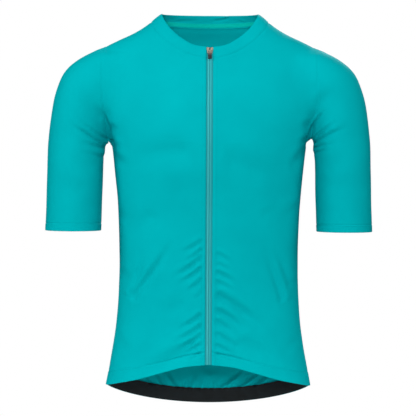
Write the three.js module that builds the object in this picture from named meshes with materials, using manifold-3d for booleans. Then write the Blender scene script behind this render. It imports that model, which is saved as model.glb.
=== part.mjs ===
// A short-sleeved cycling jersey, filled out as if it were worn, with nothing inside it.
// Two fronts close on a full-length zip, a back drops to a longer tail with three pockets,
// and two set-in sleeves and a low band collar are sewn on. Every cloth piece is a thin closed wall.
//
// Millimetres, +Z up. The front faces -Y and the wearer's left is +X.
// The origin is the middle of the neck base, level with the neck ends of the shoulder seams.
import * as THREE from 'three';
import Module from 'manifold-3d';
import { mergeVertices } from 'three/addons/utils/BufferGeometryUtils.js';

// Driving sizes
const CLOTH = 1.3;            // wall of the knit
const COLLAR_CLOTH = 1.6;     // the collar is folded double
const SEAM_GAP = 0.3;
const LAY_GAP = 0.5;          // between a panel and a piece that lies on it
const ZIP_HALF = 6.3;         // half of the zip that shows between the two fronts
const ZIP_TAPE = 13.5;        // reach of each zip tape from the middle
const ZIP_TAPE_WALL = 1.0;
const NECK_HALF = 103;        // neck end of the shoulder seam
const NECK_SIDE_Z = 3.6;
const NECK_FRONT_Z = -62;
const NECK_BACK_Z = 1;
const COLLAR_TOP_HALF = 84;
const COLLAR_TOP_SIDE_Z = 21.8;
const COLLAR_TOP_FRONT_Z = -42;
const COLLAR_TOP_BACK_Z = 23;
const COLLAR_TOP_FRONT_SHARE = 0.87;   // how far forward the top edge is, as a share of the seam
const COLLAR_TOP_BACK_SHARE = 0.85;
const COLLAR_BULGE = 2;
const HEM_SIDE_Z = -645;      // both hems at the side seams
const HEM_BACK_Z = -687.4;    // the back hem drops to the tail
const HEM_BAND = 26.5;        // height of the elastic gripper inside the tail
const CUFF_Z = -368;
const CUFF_FRONT_DROP = 3;
const SHOULDER_REACH_Z = -123;
const POCKET_TOP_Z = -478;
const POCKET_BINDING = 10;
const POCKET_COLUMNS = 6;     // columns of the back that the pockets cover, each side of the middle

// Powers that shape the edges: above 1 keeps a curve near the zip sharper, below 1 rounder
const NECK_CURVE = 1.6;
const TOP_CURVE = 1.44;
const TAIL_CURVE = 0.66;
const CLOSING_TURN = 30;      // turn over which the collar's edge comes in from the zip
const ABOVE_ARM = 3;          // how fast the arm's share of the form fades above its top

const DEGREE = Math.PI / 180;
const ZIP_TURN = Math.asin(ZIP_HALF / NECK_HALF) / DEGREE;   // turn of the neckline beside the zip

// Rings of the trunk: half width, depth ahead of and behind the middle plane, and squareness.
const TRUNK = [
  { z: 30, half: 78, front: 44, back: 50, power: 2.0 },
  { z: 3.6, half: 103, front: 50, back: 60, power: 2.0 },
  { z: -5, half: 120, front: 51, back: 64, power: 2.0 },
  { z: -16, half: 140, front: 53, back: 70, power: 2.0 },
  { z: -27, half: 163.5, front: 55, back: 75, power: 2.0 },
  { z: -38, half: 185, front: 57, back: 80, power: 2.0 },
  { z: -46, half: 197, front: 59, back: 84, power: 2.05 },
  { z: -62, half: 209, front: 64, back: 90, power: 2.1 },
  { z: -90, half: 212, front: 77, back: 100, power: 2.15 },
  { z: -125, half: 205, front: 93, back: 108, power: 2.2 },
  { z: -165, half: 190, front: 106, back: 112, power: 2.3 },
  { z: -190, half: 181.5, front: 111, back: 111, power: 2.35 },
  { z: -204, half: 177.5, front: 113, back: 110, power: 2.35 },
  { z: -216, half: 174.6, front: 114, back: 109, power: 2.35 },
  { z: -260, half: 169.5, front: 113, back: 103, power: 2.3 },
  { z: -306, half: 164.7, front: 108, back: 96, power: 2.3 },
  { z: -350, half: 162, front: 104, back: 91, power: 2.25 },
  { z: -421, half: 160, front: 101, back: 89, power: 2.25 },
  { z: -475, half: 161, front: 100.5, back: 92, power: 2.2 },
  { z: -529, half: 164.7, front: 100, back: 97, power: 2.2 },
  { z: -565, half: 169.5, front: 100, back: 100, power: 2.15 },
  { z: -601, half: 175.5, front: 99.5, back: 102.5, power: 2.1 },
  { z: -644.4, half: 183.6, front: 99, back: 105, power: 2.1 },
  { z: -700, half: 194, front: 98, back: 108, power: 2.1 },
];

// Rings of one arm of the form: its inner and outer side, its depth and how far forward its middle is.
const ARM = [
  { z: -45, inner: 176, outer: 202, depth: 19, forward: -2 },
  { z: -54, inner: 159, outer: 221.5, depth: 37, forward: -3 },
  { z: -62, inner: 153, outer: 236, depth: 45.5, forward: -4 },
  { z: -76, inner: 154, outer: 253.5, depth: 53, forward: -4 },
  { z: -90, inner: 159, outer: 264, depth: 57.5, forward: -4 },
  { z: -110, inner: 168, outer: 272.5, depth: 61, forward: -3 },
  { z: -135, inner: 176, outer: 280, depth: 62.5, forward: -2 },
  { z: -165, inner: 182, outer: 284.5, depth: 62, forward: 0 },
  { z: -204, inner: 184.5, outer: 289, depth: 60, forward: 1 },
  { z: -219, inner: 186.5, outer: 290, depth: 59.5, forward: 1.5 },
  { z: -241, inner: 190, outer: 290.5, depth: 58, forward: 2 },
  { z: -300, inner: 191.5, outer: 291.5, depth: 55, forward: 4 },
  { z: -369, inner: 193.5, outer: 293.4, depth: 52.5, forward: 7 },
  { z: -400, inner: 194, outer: 294, depth: 52, forward: 8 },
];

// How widely the trunk and an arm flow into each other.
const BLEND = [
  { z: 0, width: 4 },
  { z: -30, width: 8 },
  { z: -50, width: 22 },
  { z: -75, width: 40 },
  { z: -105, width: 50 },
  { z: -140, width: 44 },
  { z: -170, width: 32 },
  { z: -192, width: 23 },
  { z: -204, width: 18 },
  { z: -216, width: 14 },
  { z: -241, width: 8 },
];

// The armhole seam, seen from the front.
const ARMHOLE = [
  { z: 0, x: 191 },
  { z: -110, x: 191 },
  { z: -140, x: 189.5 },
  { z: -170, x: 186.5 },
  { z: -206, x: 182 },
];

// The front hem, which rises from the side seams to the zip.
const FRONT_HEM = [
  { x: 0, z: -601.5 },
  { x: 41, z: -606 },
  { x: 75, z: -615 },
  { x: 126, z: -630.3 },
  { x: 160, z: -638.5 },
  { x: 184, z: HEM_SIDE_Z },
];

// The largest folds of each piece as troughs between two points seen from the front:
// side is -1 on the wearer's right and 1 on the left, width is half of what the trough spans.
const FRONT_FOLDS = [
  { side: -1, x0: -74, z0: -384, x1: -138, z1: -502, width: 15, depth: 3.4 },
  { side: -1, x0: -18, z0: -560, x1: -126, z1: -622, width: 14, depth: 2.6 },
  { side: 1, x0: 102, z0: -384, x1: 146, z1: -500, width: 15, depth: 3.2 },
  { side: 1, x0: 18, z0: -470, x1: 108, z1: -556, width: 14, depth: 2.6 },
];
const SLEEVE_FOLDS = [
  { side: -1, x0: -190, z0: -216, x1: -236, z1: -186, width: 8, depth: 2.4 },
  { side: -1, x0: -192, z0: -232, x1: -226, z1: -212, width: 8, depth: 2.0 },
  { side: 1, x0: 190, z0: -206, x1: 236, z1: -192, width: 8, depth: 2.4 },
  { side: 1, x0: 188, z0: -198, x1: 216, z1: -174, width: 7, depth: 2.0 },
];

// How finely each piece is divided. A panel's columns run up from the hem. The inner ones end on
// the neckline's near part, up to the bend, and its rows above that start from the neckline's side.
const COLUMNS = 13;           // from the zip, or the middle of the back, to the side seam and armhole
const NECK_COLUMNS = 5;
const NECK_BEND = 50;         // turn of the neckline between those two parts, in degrees
const YOKE_ROWS = 12;         // from the underarm up to the shoulder
const NECK_ROW = 8;           // the one that meets the neckline's bend
const SLEEVE_ROWS = 14;
const COLLAR_ROWS = 3;
const BODY_STEPS = [0, 4, 10, 20, 36, 60, 88, 116, 144, 172, 200, 228, 256, 284, 312, 340, 366];

// Curves through the tables

// A smooth curve through one column of a table that never overshoots its rows.
function curve(table, column, key = 'z') {
  const rows = [...table].sort((a, b) => a[key] - b[key]);
  const at = rows.map((row) => row[key]);
  const value = rows.map((row) => row[column]);
  const secant = at.slice(1).map((z, i) => (value[i + 1] - value[i]) / (z - at[i]));
  const slope = value.map((_, i) => {
    const before = secant[Math.max(i - 1, 0)];
    const after = secant[Math.min(i, secant.length - 1)];
    return before * after <= 0 ? 0 : (2 * before * after) / (before + after);
  });
  return (z) => {
    if (z <= at[0]) return value[0] + slope[0] * (z - at[0]);
    const last = at.length - 1;
    if (z >= at[last]) return value[last] + slope[last] * (z - at[last]);
    let i = 0;
    while (z > at[i + 1]) i++;
    const span = at[i + 1] - at[i];
    const t = (z - at[i]) / span;
    const rise = t * t * (3 - 2 * t);
    return value[i] + (value[i + 1] - value[i]) * rise
      + span * (slope[i] * t * (1 - t) ** 2 - slope[i + 1] * t * t * (1 - t));
  };
}

const curves = (table, columns) => Object.fromEntries(columns.map((name) => [name, curve(table, name)]));
const trunk = curves(TRUNK, ['half', 'front', 'back', 'power']);
const arm = curves(ARM, ['inner', 'outer', 'depth', 'forward']);
const blendWidth = curve(BLEND, 'width');
const armholeX = curve(ARMHOLE, 'x');
const frontHem = curve(FRONT_HEM, 'z', 'x');
const ARM_TOP = ARM[0].z;
const smooth = (t) => {
  const u = Math.min(Math.max(t, 0), 1);
  return u * u * (3 - 2 * u);
};

// The filled-out form: a trunk and two arms that flow into each other

// Signed distance, nearly, from a ring of a given half width, depth and squareness.
function ringDistance(x, y, half, depth, power) {
  const u = Math.abs(x) / half;
  const v = Math.abs(y) / depth;
  const size = (u ** power + v ** power) ** (1 / power);
  if (size < 1e-6) return -Math.min(half, depth);
  return (size - 1) / Math.hypot((u / size) ** (power - 1) / half, (v / size) ** (power - 1) / depth);
}

function form(x, y, z) {
  const side = Math.abs(x);
  const body = ringDistance(side, y, trunk.half(z), y < 0 ? trunk.front(z) : trunk.back(z), trunk.power(z));
  const level = Math.min(z, ARM_TOP);
  const inner = arm.inner(level);
  const outer = arm.outer(level);
  const sleeve = ringDistance(
    side - (inner + outer) / 2, y + arm.forward(level),
    (outer - inner) / 2, arm.depth(level), 2,
  );
  const limb = sleeve + ABOVE_ARM * Math.max(z - ARM_TOP, 0);
  const width = Math.max(blendWidth(z), 4);
  const overlap = Math.max(width - Math.abs(body - limb), 0) / width;
  return Math.min(body, limb) - (overlap * overlap * width) / 4;
}

function outward(p) {
  const step = 0.5;
  return new THREE.Vector3(
    form(p.x + step, p.y, p.z) - form(p.x - step, p.y, p.z),
    form(p.x, p.y + step, p.z) - form(p.x, p.y - step, p.z),
    form(p.x, p.y, p.z + step) - form(p.x, p.y, p.z - step),
  ).normalize();
}

// Where a path that starts inside the form leaves it. The path gives a point for each distance.
function leave(path, limit = 400) {
  const stride = 4;
  const depthAt = (distance) => {
    const p = path(distance);
    return form(p.x, p.y, p.z);
  };
  let near = 0;
  while (depthAt(near + stride) < 0) {
    near += stride;
    if (near > limit) return path(limit);
  }
  let far = near + stride;
  for (let i = 0; i < 30; i++) {
    const middle = (near + far) / 2;
    if (depthAt(middle) < 0) near = middle;
    else far = middle;
  }
  return path(Math.min(near, limit));
}

const vector = (x, y, z) => new THREE.Vector3(x, y, z);

// Where trunk and arm first meet: the top of the side seam.
function findUnderarm() {
  let low = -230;
  let high = -180;
  for (let i = 0; i < 40; i++) {
    const middle = (low + high) / 2;
    if (form(armholeX(middle), 0, middle) < 0) high = middle;
    else low = middle;
  }
  return (low + high) / 2;
}
const UNDERARM_Z = findUnderarm();
const UNDERARM = vector(armholeX(UNDERARM_Z), 0, UNDERARM_Z);
const SHOULDER = leave((r) => vector(armholeX(0), 0, SHOULDER_REACH_Z + r));

// Seams

// A point of the armhole seam: turn 0 is the underarm and 180 the shoulder, face -1 is the front.
function armhole(turn, face, aside) {
  const up = SHOULDER.clone().sub(UNDERARM).normalize();
  const middle = SHOULDER.clone().add(UNDERARM).multiplyScalar(0.5);
  return leave((r) => {
    const z = middle.z - r * Math.cos(turn * DEGREE) * up.z;
    return vector(armholeX(z) + aside, face * r * Math.sin(turn * DEGREE), z);
  });
}

// The neckline seam: turn 0 is the middle of the front, 90 the side and 180 the middle of the back.
function neckline(turn) {
  const c = Math.cos(turn * DEGREE);
  const s = Math.sin(turn * DEGREE);
  const front = c > 0;
  const z = front
    ? NECK_SIDE_Z - (NECK_SIDE_Z - NECK_FRONT_Z) * c ** NECK_CURVE
    : NECK_BACK_Z + (NECK_SIDE_Z - NECK_BACK_Z) * s * s;
  return leave((r) => vector(NECK_HALF * s, front ? -r : r, z));
}

// The collar's top edge over a point of the neckline.
function collarTop(turn, foot) {
  const c = Math.cos(turn * DEGREE);
  const s = Math.sin(turn * DEGREE);
  const front = c > 0;
  const closing = smooth((turn - ZIP_TURN) / CLOSING_TURN);
  return vector(
    THREE.MathUtils.lerp(foot.x, COLLAR_TOP_HALF * s, closing),
    foot.y * (front ? COLLAR_TOP_FRONT_SHARE : COLLAR_TOP_BACK_SHARE),
    front
      ? COLLAR_TOP_SIDE_Z - (COLLAR_TOP_SIDE_Z - COLLAR_TOP_FRONT_Z) * c ** TOP_CURVE
      : COLLAR_TOP_SIDE_Z + (COLLAR_TOP_BACK_Z - COLLAR_TOP_SIDE_Z) * c * c,
  );
}

// The collar seam at one turn: its foot, the way up the collar, the way out of the collar
// and the shared way through both walls, so that their edges face each other squarely.
function neckSeam(turn) {
  const foot = neckline(turn);
  const top = collarTop(turn, foot);
  const height = top.distanceTo(foot);
  const rise = top.clone().sub(foot).normalize();
  const around = neckline(turn + 1).sub(neckline(turn - 1)).normalize();
  const out = around.clone().cross(rise).normalize();
  const through = out.clone().add(outward(foot)).normalize();
  const apart = through.clone().cross(around).normalize();
  return { foot, height, rise, out, through, apart };
}

// The hem's height at a distance from the middle.
function hemLevel(x, face) {
  const side = Math.min(Math.abs(x), trunk.half(HEM_SIDE_Z));
  const across = side / trunk.half(HEM_SIDE_Z);
  return face < 0 ? frontHem(side) : HEM_SIDE_Z + (HEM_BACK_Z - HEM_SIDE_Z) * (1 - across ** 2) ** TAIL_CURVE;
}

// Where a column of points, given by height, meets the hem.
function hemHeight(column, face) {
  let z = HEM_SIDE_Z;
  for (let i = 0; i < 8; i++) z = hemLevel(column(z).x, face);
  return z;
}

// Folds

function foldDepth(folds, p) {
  return folds.reduce((sum, fold) => {
    if (Math.sign(p.x) !== fold.side) return sum;
    const run = Math.hypot(fold.x1 - fold.x0, fold.z1 - fold.z0);
    const ax = (fold.x1 - fold.x0) / run;
    const az = (fold.z1 - fold.z0) / run;
    const down = (p.x - fold.x0) * ax + (p.z - fold.z0) * az;
    const off = ((p.x - fold.x0) * az - (p.z - fold.z0) * ax) / fold.width;
    const fade = smooth(down / fold.width) * smooth((run - down) / (0.6 * run));
    return sum - fold.depth * fade * Math.exp(-off * off);
  }, 0);
}

// Walls of cloth

// Two sheets of points, outer and inner, as one closed wall. A sheet is a list of columns, which
// may end at different rows, and a ring's last column is followed by its first.
function wall(outer, inner, ring = false) {
  const points = [...outer.flat(), ...inner.flat()];
  const below = outer.flat().length;
  const starts = outer.map((_, j) => outer.slice(0, j).flat().length);
  const faces = [];
  const rims = new Map();
  const quad = (a, b, c, d) => faces.push(a, b, c, a, c, d);
  for (let j = 0; j < outer.length - (ring ? 0 : 1); j++) {
    const next = (j + 1) % outer.length;
    const rows = Math.min(outer[j].length, outer[next].length) - 1;
    for (let i = 0; i < rows; i++) {
      const corners = [starts[j] + i, starts[next] + i, starts[next] + i + 1, starts[j] + i + 1];
      const [a, b, c, d] = corners;
      quad(a, b, c, d);
      faces.push(a + below, c + below, b + below, a + below, d + below, c + below);
      corners.forEach((from, k) => {
        const to = corners[(k + 1) % 4];
        const key = `${Math.min(from, to)} ${Math.max(from, to)}`;
        if (rims.has(key)) rims.delete(key);
        else rims.set(key, [from, to]);
      });
    }
  }
  for (const [from, to] of rims.values()) quad(to, from, from + below, to + below);
  return facingOut(points, faces);
}

// The faces as geometry, turned round if they enclose a negative volume.
function facingOut(points, faces) {
  let volume = 0;
  for (let i = 0; i < faces.length; i += 3) {
    const [a, b, c] = [points[faces[i]], points[faces[i + 1]], points[faces[i + 2]]];
    volume += a.dot(b.clone().cross(c));
  }
  const index = volume > 0 ? faces : faces.map((_, i) => faces[i - (i % 3) + [0, 2, 1][i % 3]]);
  const geometry = new THREE.BufferGeometry();
  const values = points.flatMap((p) => [p.x, p.y, p.z]);
  geometry.setAttribute('position', new THREE.Float32BufferAttribute(values, 3));
  geometry.setIndex(index);
  geometry.computeVertexNormals();
  return geometry;
}

const shift = (p, direction, distance) => p.clone().addScaledVector(direction, distance);
const moved = (cells, distance) => cells.map((row) => row.map((cell) => shift(cell.p, cell.n, distance)));
const wallBetween = (cells, near, far) => wall(moved(cells, near), moved(cells, far));

// Without the part that would carry a wall's edge across the seam it ends on.
const along = (n, dropX, dropY) => vector(dropX ? 0 : n.x, dropY ? 0 : n.y, n.z).normalize();

// Trunk panels, worked out for the wearer's left half

// The turns of the neckline where a panel's columns, then its rows, meet it, out to the shoulder.
function neckTurns(face) {
  const start = face < 0 ? ZIP_TURN : 180;
  const bend = face < 0 ? NECK_BEND : 180 - NECK_BEND;
  const near = Array.from({ length: NECK_COLUMNS }, (_, j) => start + ((bend - start) * j) / NECK_COLUMNS);
  const rows = YOKE_ROWS - NECK_ROW;
  const side = Array.from({ length: rows + 1 }, (_, i) => bend + ((90 - bend) * i) / rows);
  return [...near, ...side];
}

// One half panel as columns of cells, each a point on the form and the way out of it.
function halfPanel(face, startX) {
  const seam = (face * SEAM_GAP) / 2;
  const turns = neckTurns(face);
  const neck = turns.map(neckline);
  const lastStep = BODY_STEPS[BODY_STEPS.length - 1];
  const armholePoint = (i) => armhole((180 * i) / YOKE_ROWS, face, 0).add(vector(0, seam, 0));

  // The form's surface beyond a point, seen from the inside at a given height.
  const onForm = (aimed, insideZ) => {
    const direction = vector(0, aimed.y - seam, aimed.z - insideZ).normalize();
    return leave((r) => shift(vector(aimed.x, seam, insideZ), direction, r));
  };

  return Array.from({ length: COLUMNS + 1 }, (_, j) => {
    const atSide = j === COLUMNS;
    const atMiddle = j === 0 && startX > 0;
    const footX = startX + (UNDERARM.x - startX) * Math.sin((90 * DEGREE * j) / COLUMNS);
    const foot = atSide ? UNDERARM : leave((r) => vector(footX, seam + face * r, UNDERARM_Z));
    const originX = startX * (1 - j / COLUMNS);
    const aim = new THREE.Vector2(foot.x - originX, atSide ? 0 : foot.y - seam).normalize();
    const onRing = (z) => leave((r) => vector(originX + r * aim.x, seam + r * aim.y, z));
    const hem = hemHeight(onRing, face);
    const bodyFoot = hem + HEM_BAND;
    const share = (step) => step / lastStep;
    const heights = BODY_STEPS.slice(1).map((step) => UNDERARM_Z + (bodyFoot - UNDERARM_Z) * share(step));
    const cells = [hem, ...heights.reverse()].map((z) => {
      const p = onRing(z);
      return { p, n: along(outward(p), atMiddle, atSide) };
    });

    // Row i of the yoke: up to the neckline's bend, then from the neckline's side to the armhole.
    const out = (j - NECK_COLUMNS) / (COLUMNS - NECK_COLUMNS);
    const rowPoint = (i) => {
      const k = NECK_COLUMNS + i - NECK_ROW;
      const aimed = neck[k].clone().lerp(armholePoint(i), out);
      if (i === YOKE_ROWS) aimed.y = seam;
      return onForm(aimed, SHOULDER_REACH_Z);
    };
    const bend = out < 0 ? neck[j] : rowPoint(NECK_ROW);
    const top = out < 0 ? NECK_ROW : YOKE_ROWS;

    // Below the bend the rows level off from the armhole's curve towards the middle.
    const lowPoint = (i) => {
      const t = i / NECK_ROW;
      const curved = armholePoint(i).sub(UNDERARM.clone().lerp(armholePoint(NECK_ROW), t));
      const aimed = foot.clone().lerp(bend, t).addScaledVector(curved, (j / COLUMNS) ** 2);
      return onForm(aimed, THREE.MathUtils.lerp(UNDERARM_Z, SHOULDER_REACH_Z, t));
    };
    for (let i = 0; i <= top; i++) {
      let p = i < NECK_ROW ? lowPoint(i) : rowPoint(i);
      if (i === 0) p = foot.clone();
      if (atSide) p = armholePoint(i);
      if (out < 0 && i === top) p = neck[j].clone();
      const turn = out < 0 ? turns[j] : turns[NECK_COLUMNS + i - NECK_ROW];
      const atNeck = i >= NECK_ROW && out <= 0;
      const atShoulder = i === YOKE_ROWS;
      if (atShoulder) p.y = seam;
      const way = atNeck ? neckSeam(turn).through : outward(p);
      cells.push({ p, n: along(way, atMiddle || atSide, atShoulder || (atSide && i === 0)) });
    }
    cells.aim = aim;
    return cells;
  });
}

const mirrorX = ({ p, n }) => ({ p: vector(-p.x, p.y, p.z), n: vector(-n.x, n.y, n.z) });
const folded = (columns, folds) => columns.map((cells) => cells.map(({ p, n }) => ({
  p: shift(p, n, foldDepth(folds, p)),
  n,
})));

const frontHalf = halfPanel(-1, ZIP_HALF);
const backHalf = halfPanel(1, 0);
const mirrored = (columns) => columns.map((cells) => {
  const copy = cells.map(mirrorX);
  if (cells.aim) copy.aim = new THREE.Vector2(-cells.aim.x, cells.aim.y);
  return copy;
});
const backWhole = [...mirrored(backHalf).reverse(), ...backHalf.slice(1)];

const frontLeft = wallBetween(folded(frontHalf, FRONT_FOLDS), 0, -CLOTH);
const frontRight = wallBetween(folded(mirrored(frontHalf), FRONT_FOLDS), 0, -CLOTH);
const backPanel = wallBetween(backWhole, 0, -CLOTH);

// Sleeves, worked out for the wearer's left

// Sections are upright at the armhole and level from LEVEL_FROM down the sleeve. As far as
// CURVED_TO they still carry some of the armhole's curve.
const uprightTurn = Math.atan2(SHOULDER.z - UNDERARM.z, SHOULDER.x - UNDERARM.x) / DEGREE;
const LEVEL_FROM = 0.72;
const CURVED_TO = 0.45;
const CUFF_DROP_FROM = 0.6;
const ARM_DEPTH = 100;

// The inner and outer point of the sleeve at a share of its length.
function sleeveSection(share) {
  const inZ = UNDERARM_Z + (CUFF_Z - UNDERARM_Z) * share;
  const under = share === 0
    ? UNDERARM
    : leave((r) => vector((arm.inner(inZ) + arm.outer(inZ)) / 2 - r, 0, inZ));
  const lift = uprightTurn * (1 - smooth(share / LEVEL_FROM)) * DEGREE;
  const across = vector(Math.cos(lift), 0, Math.sin(lift));
  const over = share === 0
    ? SHOULDER
    : leave((r) => shift(shift(under, across, 20), across, r));
  return { under, over };
}

function sleeveRing(share) {
  const { under, over } = sleeveSection(share);
  const middle = under.clone().add(over).multiplyScalar(0.5);
  const across = over.clone().sub(under).normalize();
  const follow = 1 - smooth(share / CURVED_TO);
  const drop = CUFF_FRONT_DROP * smooth((share - CUFF_DROP_FROM) / (1 - CUFF_DROP_FROM));
  const cells = [];
  for (let k = 0; k < 2 * YOKE_ROWS; k++) {
    const turn = (180 * k) / YOKE_ROWS;
    const face = k <= YOKE_ROWS ? -1 : 1;
    const half = k <= YOKE_ROWS ? turn : 360 - turn;
    const p = share === 0
      ? armhole(half, face, SEAM_GAP)
      : leave((r) => {
        const q = shift(middle, across, -r * Math.cos(half * DEGREE));
        q.y = face * r * Math.sin(half * DEGREE);
        const up = (q.z - UNDERARM.z) / (SHOULDER.z - UNDERARM.z);
        const straight = THREE.MathUtils.lerp(UNDERARM.x, SHOULDER.x, up);
        q.x += follow * (armholeX(q.z) - straight) * smooth(8 * up + 1);
        q.z += (drop * q.y) / ARM_DEPTH;
        return q;
      });
    cells.push({ p, n: along(outward(p), share === 0, false) });
  }
  return cells;
}

const sleeveRings = Array.from({ length: SLEEVE_ROWS + 1 }, (_, i) => {
  const t = i / SLEEVE_ROWS;
  return sleeveRing(0.55 * t + 0.45 * t * t);
});
const sleeveLeftCells = sleeveRings[0].map((_, k) => sleeveRings.map((ring) => ring[k]));
const sleeveWall = (cells) => wall(moved(cells, 0), moved(cells, -CLOTH), true);
const sleeveLeft = sleeveWall(folded(sleeveLeftCells, SLEEVE_FOLDS));
const sleeveRight = sleeveWall(folded(mirrored(sleeveLeftCells), SLEEVE_FOLDS));

// Collar and neck tape

// The turns where the panels' points meet the neckline, so that seam points face each other.
const collarTurns = [...neckTurns(-1), ...neckTurns(1).reverse().slice(1)];

// Points up the collar at one turn of the neck, from its seam to its top edge.
function collarColumn(turn, from = 0, to = 1, rows = COLLAR_ROWS) {
  const { foot, height, rise, out, through, apart } = neckSeam(turn);
  const start = shift(foot, apart, SEAM_GAP);
  const fullness = COLLAR_BULGE * smooth((turn - ZIP_TURN) / 25);
  return Array.from({ length: rows + 1 }, (_, i) => {
    const t = from + ((to - from) * i) / rows;
    const bulge = 4 * fullness * t * (1 - t);
    const way = t === 0 ? through : out;
    const n = along(way, turn === ZIP_TURN, false);
    return { p: shift(shift(start, rise, (height - SEAM_GAP) * t), out, bulge), n };
  });
}

function aroundNeck(turns, from, to, rows) {
  const left = turns.map((turn) => collarColumn(turn, from, to, rows));
  const middle = turns[turns.length - 1] === 180 ? left.slice(0, -1) : left;
  return [...mirrored(middle), ...[...left].reverse()];
}

const collar = wallBetween(aroundNeck(collarTurns, 0, 1, COLLAR_ROWS), 0, -COLLAR_CLOTH);
const NECK_TAPE_WALL = 1.0;
const tapeNear = -(COLLAR_CLOTH + SEAM_GAP);
const neckTape = wallBetween(
  aroundNeck(collarTurns.filter((turn) => turn > 95), 0.04, 0.46, 2),
  tapeNear,
  tapeNear - NECK_TAPE_WALL,
);

// Gripper band inside the tail, pocket panel and its elastic binding on the back

// A grid on the back over so many columns each side of the middle, between two heights
// that are worked out from the hem's.
function backStrip(reach, top, bottom, rows) {
  const middle = COLUMNS;
  const columns = backWhole.slice(middle - reach, middle + reach + 1);
  return columns.map(({ aim }) => {
    const onRing = (z) => leave((r) => vector(r * aim.x, SEAM_GAP / 2 + r * aim.y, z));
    const hem = hemHeight(onRing, 1);
    return Array.from({ length: rows + 1 }, (_, i) => {
      const p = onRing(top(hem) + ((bottom(hem) - top(hem)) * i) / rows);
      return { p, n: along(outward(p), false, Math.abs(aim.y) < 1e-6) };
    });
  });
}

const GRIPPER_WALL = 1.2;
const grip = -(CLOTH + LAY_GAP);
const gripper = wallBetween(
  backStrip(COLUMNS, (hem) => hem + HEM_BAND, (hem) => hem + SEAM_GAP, 2),
  grip,
  grip - GRIPPER_WALL,
);
const POCKET_WALL = 1.2;
const pocketPanel = wallBetween(
  backStrip(POCKET_COLUMNS, () => POCKET_TOP_Z, (hem) => hem + HEM_BAND + 1, 7),
  LAY_GAP + POCKET_WALL,
  LAY_GAP,
);
const binding = LAY_GAP + POCKET_WALL + LAY_GAP;
const BINDING_WALL = 1.0;
const pocketBinding = wallBetween(
  backStrip(POCKET_COLUMNS, () => POCKET_TOP_Z, () => POCKET_TOP_Z - POCKET_BINDING, 1),
  binding + BINDING_WALL,
  binding,
);

// Zip: two tapes behind the fronts, a slider at the top and a pull tab that swings on it

const SLIDER_TOP_Z = COLLAR_TOP_FRONT_Z - 0.6;
const SLIDER_LENGTH = 12;
const SLIDER_HALF_TOP = 6.0;
const SLIDER_HALF_FOOT = 4.4;
const POST_HALF = 1.3;
const POST_LENGTH = 4;
const TAPE_TOP_Z = COLLAR_TOP_FRONT_Z - 0.8;

// The cloth's outer face beside the zip, at a height and a distance from the middle. The tape
// crosses from the panel to the collar behind the neck seam.
const frontRun = frontHalf[0].map((cell) => cell.p.z);
const collarRun = collarColumn(ZIP_TURN).map((cell) => cell.p.z);
function zipFace(x, z) {
  if (z <= neckline(ZIP_TURN).z) {
    const p = leave((r) => vector(x, -r, z));
    return { p, n: along(outward(p), true, false) };
  }
  const turn = Math.asin(Math.max(x, ZIP_HALF) / NECK_HALF) / DEGREE;
  const rows = collarColumn(turn);
  const i = THREE.MathUtils.clamp(rows.findIndex((cell) => cell.p.z > z), 1, COLLAR_ROWS);
  const t = (z - rows[i - 1].p.z) / (rows[i].p.z - rows[i - 1].p.z);
  const p = rows[i - 1].p.clone().lerp(rows[i].p, t);
  return { p: vector(x, p.y, z), n: along(rows[1].n, true, false) };
}

function zipTape() {
  const below = frontRun.filter((z) => z < NECK_FRONT_Z - 6);
  const levels = [...below, NECK_FRONT_Z - 3, ...collarRun.slice(0, -1)];
  const parted = SLIDER_TOP_Z - POST_LENGTH;
  levels.push(parted - 3, parted - 1, TAPE_TOP_Z);
  return levels.sort((a, b) => a - b).map((z) => {
    const apart = z > parted - 2 ? POST_HALF + SEAM_GAP : SEAM_GAP / 2;
    return [apart, ZIP_HALF, ZIP_TAPE].map((x) => zipFace(x, z));
  });
}

const tapeFace = -(COLLAR_CLOTH + LAY_GAP);
const tapeCells = zipTape();
const tapeWall = (cells) => wallBetween(cells, tapeFace, tapeFace - ZIP_TAPE_WALL);
const zipTapeLeft = tapeWall(tapeCells);
const zipTapeRight = tapeWall(mirrored(tapeCells));

// The slider's own frame: x across, y up the zip, z out of the cloth.
const SLIDER_PLATE = 1.6;
const BACK_PLATE = 1.2;
const EAR_WIDTH = 1.1;
const EAR_LENGTH = 2.6;
const EAR_HALF_GAP = 1.9;
const PIN_RADIUS = 0.55;
const PIN_HEIGHT = 3.5;       // of the pin's line over the plate's back
const PIN_DOWN = 7.2;         // of the pin below the slider's top
const EYE_CLEARANCE = 0.3;
const TAB_LENGTH = 16.5;
const TAB_HALF_WIDTH = 3.4;
const TAB_WALL = 1.2;
const BARREL_RADIUS = 1.45;
const ROUND_SIDES = 24;

const wasm = await Module();
wasm.setup();

function solid(geometry) {
  const plain = geometry.index ? geometry.toNonIndexed() : geometry.clone();
  plain.deleteAttribute('normal');
  plain.deleteAttribute('uv');
  const merged = mergeVertices(plain, 1e-4);
  return new wasm.Manifold(new wasm.Mesh({
    numProp: 3,
    vertProperties: merged.attributes.position.array,
    triVerts: new Uint32Array(merged.index.array),
  }));
}

function geometryOf(manifold) {
  const mesh = manifold.getMesh();
  const geometry = new THREE.BufferGeometry();
  geometry.setAttribute('position', new THREE.BufferAttribute(new Float32Array(mesh.vertProperties), 3));
  geometry.setIndex(new THREE.BufferAttribute(mesh.triVerts, 1));
  const flat = geometry.toNonIndexed();
  flat.computeVertexNormals();
  return flat;
}

const slab = (width, height, depth, x, y, z) =>
  new THREE.BoxGeometry(width, height, depth).translate(x, y, z);
const rodAcross = (radius, width, y, z) =>
  new THREE.CylinderGeometry(radius, radius, width, ROUND_SIDES).rotateZ(90 * DEGREE).translate(0, y, z);

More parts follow.
